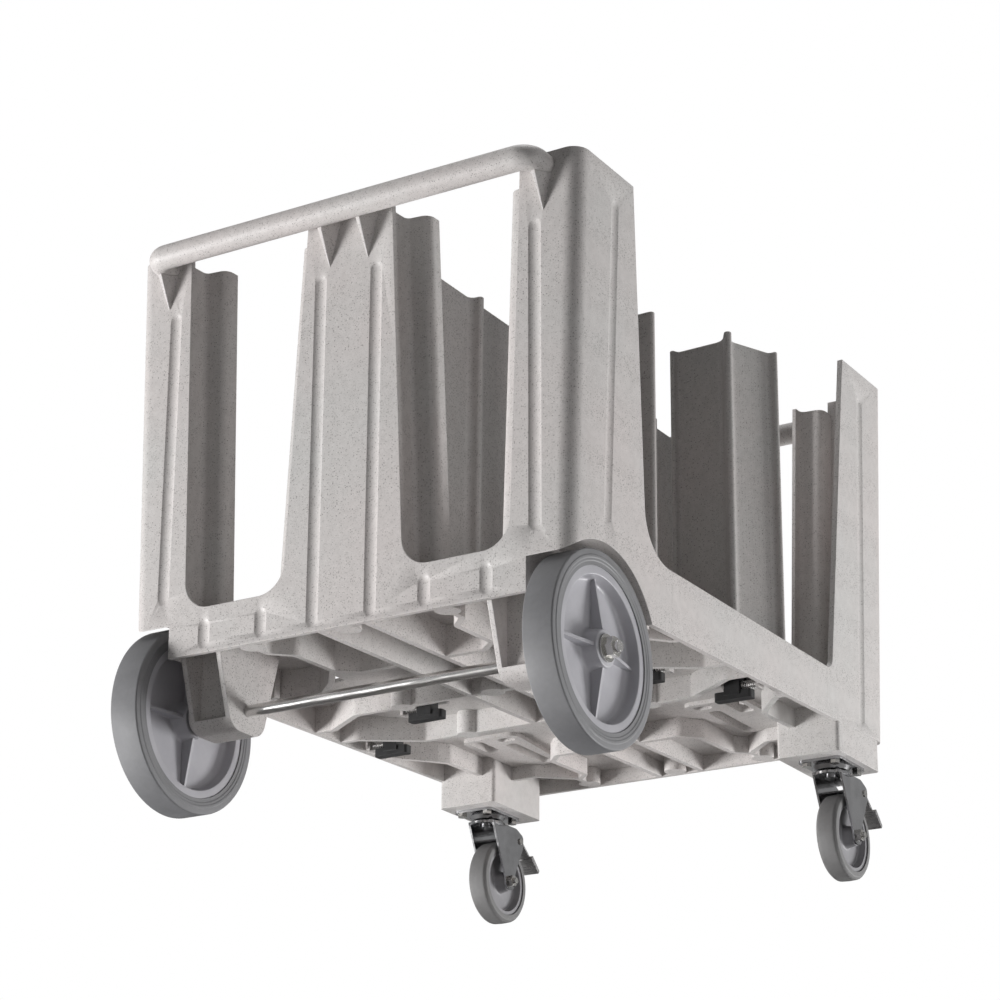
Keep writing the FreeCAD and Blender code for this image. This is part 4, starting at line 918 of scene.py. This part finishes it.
@dataclass
class AxleWheels:
    """The two large wheels on their steel axle.

    The bevels follow the corners of half a profile, from the inside outwards. The recesses
    of the tyre are measured from its widest face, the bead and the band from its foot, and
    the shoulder from its tread.
    """

    shop: Workshop
    steps: int = 144
    bore_gap: float = 0.25 * MM
    hub_radius: float = 26.0 * MM
    draft: float = 2.0 * MM
    web_half: float = 3.0 * MM
    rim_inset: float = 3.0 * MM
    rim_thick: float = 11.0 * MM
    core_bevels: tuple[float, ...] = (0.6 * MM, 1.2 * MM, 4.0 * MM, 4.0 * MM, 1.2 * MM, 0.0)
    spokes: int = 4
    spoke_thick: float = 5.0 * MM
    spoke_foot: float = 5.0 * MM
    spoke_thinning: float = 0.7
    spoke_inset: float = 3.0 * MM
    hub_overlap: float = 4.0 * MM
    rim_overlap: float = 3.0 * MM
    tyre_height: float = 22.0 * MM
    bead: float = 5.0 * MM
    bead_recess: float = 1.5 * MM
    band: float = 9.0 * MM
    band_recess: float = 0.7 * MM
    shoulder: float = 8.0 * MM
    shoulder_recess: float = 0.8 * MM
    ledge: float = 1.0 * MM
    ledge_bevel: float = 0.3 * MM
    tread_bevel: float = 2.5 * MM

    def build(self) -> None:
        """Dresses the axle and makes the wheels."""
        self.shop.finish_node("rear_axle", Slot.AXLE)
        self.shop.finish_node("axle_washers", Slot.HUB)
        self.shop.finish_node("axle_nuts", Slot.HUB)
        for side in Side:
            self.make_core(side)
            self.make_tyre(side)

    def make_core(self, side: Side) -> None:
        """Turns the core's hub, thin web and rim, and adds the tapering spokes on both faces.

        Args:
            side: Side of the cart.
        """
        node = f"rear_core_{side.tag}"
        low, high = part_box(node)
        tyre_low, tyre_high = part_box(f"rear_tyre_{side.tag}")
        axle_low, axle_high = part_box("rear_axle")
        centre = (low + high) / 2.0
        hub_half = (high.x - low.x) / 2.0
        rim_half = (tyre_high.x - tyre_low.x) / 2.0 - self.rim_inset
        bore = (axle_high.z - axle_low.z) / 2.0 + self.bore_gap
        rim = (high.z - low.z) / 2.0
        inner = rim - self.rim_thick
        profile = [
            (hub_half, bore), (hub_half, self.hub_radius - self.draft),
            (self.web_half, self.hub_radius + self.draft), (self.web_half, inner - self.draft),
            (rim_half, inner), (rim_half, rim),
        ]
        mesh = turned_ring(mirrored_profile(profile, self.core_bevels), centre, self.steps)
        for number in range(self.spokes):
            turn = math.tau * number / self.spokes
            self.add_spoke(mesh, centre, turn, hub_half - self.spoke_inset, inner + self.rim_overlap)
        core = self.shop.new_piece(f"large_core_{side.tag}", mesh, f"rear_wheel_{side.tag}", Slot.CORE)
        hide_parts(node)

    def add_spoke(
        self, mesh: bmesh.types.BMesh, centre: Vector, turn: float, stand: float, reach: float,
    ) -> None:
        """Adds one pair of spokes, high at the hub and low at the rim.

        Args:
            mesh: Mesh of the core.
            centre: Middle of the wheel.
            turn: Angle about the axle, in radians.
            stand: Half of the spoke's height at the hub.
            reach: Distance of the spoke's outer end from the axle.
        """
        start = self.hub_radius - self.hub_overlap
        middle = (reach + start) / 2.0
        block = bmesh.ops.create_cube(mesh, size=1.0)["verts"]
        bmesh.ops.scale(mesh, verts=block, vec=(2.0 * stand, self.spoke_thick, reach - start))
        bmesh.ops.translate(mesh, verts=block, vec=(0.0, 0.0, middle))
        outer = [point for point in block if point.co.z > middle]
        taper = (self.web_half + self.spoke_foot) / stand
        bmesh.ops.scale(mesh, verts=outer, vec=(taper, self.spoke_thinning, 1.0))
        bmesh.ops.rotate(mesh, verts=block, cent=Vector(), matrix=Matrix.Rotation(turn, 3, "X"))
        bmesh.ops.translate(mesh, verts=block, vec=centre)

    def make_tyre(self, side: Side) -> None:
        """Turns a tyre with a smooth tread and stepped side faces.

        Args:
            side: Side of the cart.
        """
        low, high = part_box(f"rear_tyre_{side.tag}")
        half = (high.x - low.x) / 2.0
        radius = (high.z - low.z) / 2.0
        foot = radius - self.tyre_height
        bead_face, band_face = half - self.bead_recess, half - self.band_recess
        shoulder_face = half - self.shoulder_recess
        profile = [
            (bead_face, foot), (bead_face, foot + self.bead),
            (band_face, foot + self.bead + self.ledge), (band_face, foot + self.band),
            (half, foot + self.band + self.ledge), (half, radius - self.shoulder - self.ledge),
            (shoulder_face, radius - self.shoulder), (shoulder_face, radius),
        ]
        bevels = (0.0, *[self.ledge_bevel] * (len(profile) - 2), self.tread_bevel)
        mesh = turned_ring(mirrored_profile(profile, bevels), (low + high) / 2.0, self.steps)
        tyre = self.shop.new_piece(f"large_tyre_{side.tag}", mesh, f"rear_wheel_{side.tag}", Slot.TYRE)
        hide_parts(f"rear_tyre_{side.tag}")


@dataclass
class BrakedCaster:
    """One braked swivel caster."""

    shop: Workshop
    side: Side

    def build(self) -> None:
        """Dresses the caster's solids."""
        tag = self.side.tag
        for name, slot in (
            ("caster_plate", Slot.CASTER), ("caster_bolts", Slot.HUB), ("caster_fork", Slot.CASTER),
            ("caster_axle", Slot.HUB), ("brake_pedal", Slot.PEDAL), ("caster_tyre", Slot.CASTER_TYRE),
            ("caster_core", Slot.CASTER_CORE),
        ):
            self.shop.finish_node(f"{name}_{tag}", slot)


# ---------------------------------------------------------------- studio

@dataclass(frozen=True)
class Softbox:
    """A square area lamp that is turned to a point."""

    name: str
    place: Triple
    aim: Triple
    size: float
    power: float

    def build(self) -> None:
        """Adds the lamp."""
        lamp = bpy.data.lights.new(self.name, "AREA")
        lamp.shape = "SQUARE"
        lamp.size = self.size
        lamp.energy = self.power
        holder = bpy.data.objects.new(self.name, lamp)
        holder.location = self.place
        away = Vector(self.place) - Vector(self.aim)
        holder.rotation_euler = away.to_track_quat("Z", "Y").to_euler()
        holder.visible_camera = False
        bpy.context.scene.collection.objects.link(holder)


@dataclass
class Studio:
    """White surroundings, a pale floor that can't be seen from below, and soft lamps."""

    fill: float = 0.015
    glossy_share: float = 0.35
    floor_reach: float = 12.0
    floor_tone: float = 0.55
    floor_colour: Colour = (0.8, 0.8, 0.8)
    floor_roughness: float = 0.9
    lamps: tuple[Softbox, ...] = (
        Softbox("soft_low_left", (-5.1, -3.9, -1.7), (0.0, -0.3, 0.4), 2.2, 610.0),
        Softbox("soft_far_right", (3.4, 3.7, -1.0), (0.2, 0.1, 0.4), 1.9, 240.0),
        Softbox("soft_right", (4.2, 0.3, -0.6), (0.3, -0.1, 0.3), 1.8, 36.0),
        Softbox("soft_front", (2.0, -3.2, -0.9), (0.0, 0.0, 0.4), 2.0, 6.0),
        Softbox("soft_top", (0.0, 0.0, 4.2), (0.0, 0.0, 0.0), 2.4, 75.0),
    )

    def build(self) -> None:
        """Sets the world, the floor and the lamps."""
        self.make_world()
        self.make_floor()
        for lamp in self.lamps:
            lamp.build()
        bpy.context.scene.view_settings.view_transform = "Standard"

    def make_world(self) -> None:
        """White to the camera and to gloss, a low even fill to everything else."""
        world = bpy.data.worlds.new("white_surroundings")
        world.use_nodes = True
        bpy.context.scene.world = world
        tree = Tree(world.node_tree)
        backdrop = world.node_tree.nodes["Background"]
        path = tree.add("ShaderNodeLightPath")
        camera_ray, through_glass = path.outputs["Is Camera Ray"], path.outputs["Is Transmission Ray"]
        seen = tree.maths("ADD", camera_ray, through_glass, clamp=True)
        glossy = tree.maths("MULTIPLY", path.outputs["Is Glossy Ray"], self.glossy_share)
        seen = tree.maths("MAXIMUM", seen, glossy)
        tree.join(tree.span(seen, WHOLE, (self.fill, 1.0)), backdrop.inputs["Strength"])
        backdrop.inputs["Color"].default_value = (*WHITE, 1.0)

    def make_floor(self) -> None:
        """A floor at the wheels' feet that the camera sees as pale.

        Its underside is clear, and light passes it both ways, so the lamps below it still
        reach the cart.
        """
        mesh = bmesh.new()
        bmesh.ops.create_grid(mesh, x_segments=1, y_segments=1, size=self.floor_reach)
        data = bpy.data.meshes.new("pale_floor")
        mesh.to_mesh(data)
        mesh.free()
        floor = bpy.data.objects.new("pale_floor", data)
        bpy.context.scene.collection.objects.link(floor)
        material = bpy.data.materials.new("pale_floor")
        material.use_nodes = True
        tree = Tree(material.node_tree)
        shader = material.node_tree.nodes["Principled BSDF"]
        shader.inputs["Base Color"].default_value = (*self.floor_colour, 1.0)
        shader.inputs["Roughness"].default_value = self.floor_roughness
        shader.inputs["Emission Color"].default_value = (*WHITE, 1.0)
        path = tree.add("ShaderNodeLightPath")
        pale = tree.maths("MULTIPLY", path.outputs["Is Camera Ray"], self.floor_tone)
        tree.join(pale, shader.inputs["Emission Strength"])
        under = tree.add("ShaderNodeNewGeometry").outputs["Backfacing"]
        open_share = tree.maths("MAXIMUM", under, path.outputs["Is Shadow Ray"])
        clear = tree.add("ShaderNodeBsdfTransparent")
        mixed = tree.add("ShaderNodeMixShader")
        tree.join(open_share, mixed.inputs[0])
        tree.join(shader.outputs[0], mixed.inputs[1])
        tree.join(clear.outputs[0], mixed.inputs[2])
        tree.join(mixed.outputs[0], material.node_tree.nodes["Material Output"].inputs["Surface"])
        data.materials.append(material)


@dataclass(frozen=True)
class PhotoCamera:
    """The camera at the photograph's angle, below the cart and to its rear right.

    Its angles are in degrees. The focal length is in pixels of a picture that is
    1000 pixels wide.
    """

    place: Triple = (1.926, -3.196, -0.920)
    azimuth: float = 31.72
    elevation: float = -21.02
    roll: float = 0.57
    focal_pixels: float = 2750.0
    picture: float = 1000.0
    sensor: float = 36.0

    def build(self) -> None:
        """Adds the camera and makes it the scene's own."""
        camera = bpy.data.cameras.new("photo_camera")
        camera.sensor_width = self.sensor
        camera.lens = self.focal_pixels * self.sensor / self.picture
        holder = bpy.data.objects.new("photo_camera", camera)
        bpy.context.scene.collection.objects.link(holder)
        turn, tilt, roll = (math.radians(angle) for angle in (self.azimuth, self.elevation, self.roll))
        level = math.cos(tilt)
        forward = Vector((-math.sin(turn) * level, math.cos(turn) * level, -math.sin(tilt)))
        right = Vector((math.cos(turn), math.sin(turn), 0.0))
        up = right.cross(forward)
        across = math.cos(roll) * right + math.sin(roll) * up
        above = math.cos(roll) * up - math.sin(roll) * right
        axes = Matrix((across, above, -forward)).transposed()
        holder.matrix_world = Matrix.Translation(self.place) @ axes.to_4x4()
        bpy.context.scene.camera = holder


def clear_scene() -> None:
    """Removes what a new file starts with."""
    for thing in list(bpy.data.objects):
        bpy.data.objects.remove(thing)


def main() -> None:
    """Loads the frame, dresses the cart and sets the studio."""
    logging.basicConfig(level=logging.INFO, format="%(name)s: %(message)s")
    clear_scene()
    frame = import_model()
    shop = Workshop(frame["nodes"], Finishes(), smooth_group())
    lug_sides = {"a": Side.RIGHT, "b": Side.LEFT, "c": Side.LEFT, "d": Side.RIGHT}
    assemblies = [Tub(shop), AxleWheels(shop)]
    assemblies += [PlateTower(shop, letter, side) for letter, side in lug_sides.items()]
    assemblies += [BrakedCaster(shop, side) for side in Side]
    for assembly in assemblies:
        assembly.build()
        LOG.info("%s done", type(assembly).__name__)
    Studio().build()
    PhotoCamera().build()


if __name__ == "__main__":
    main()
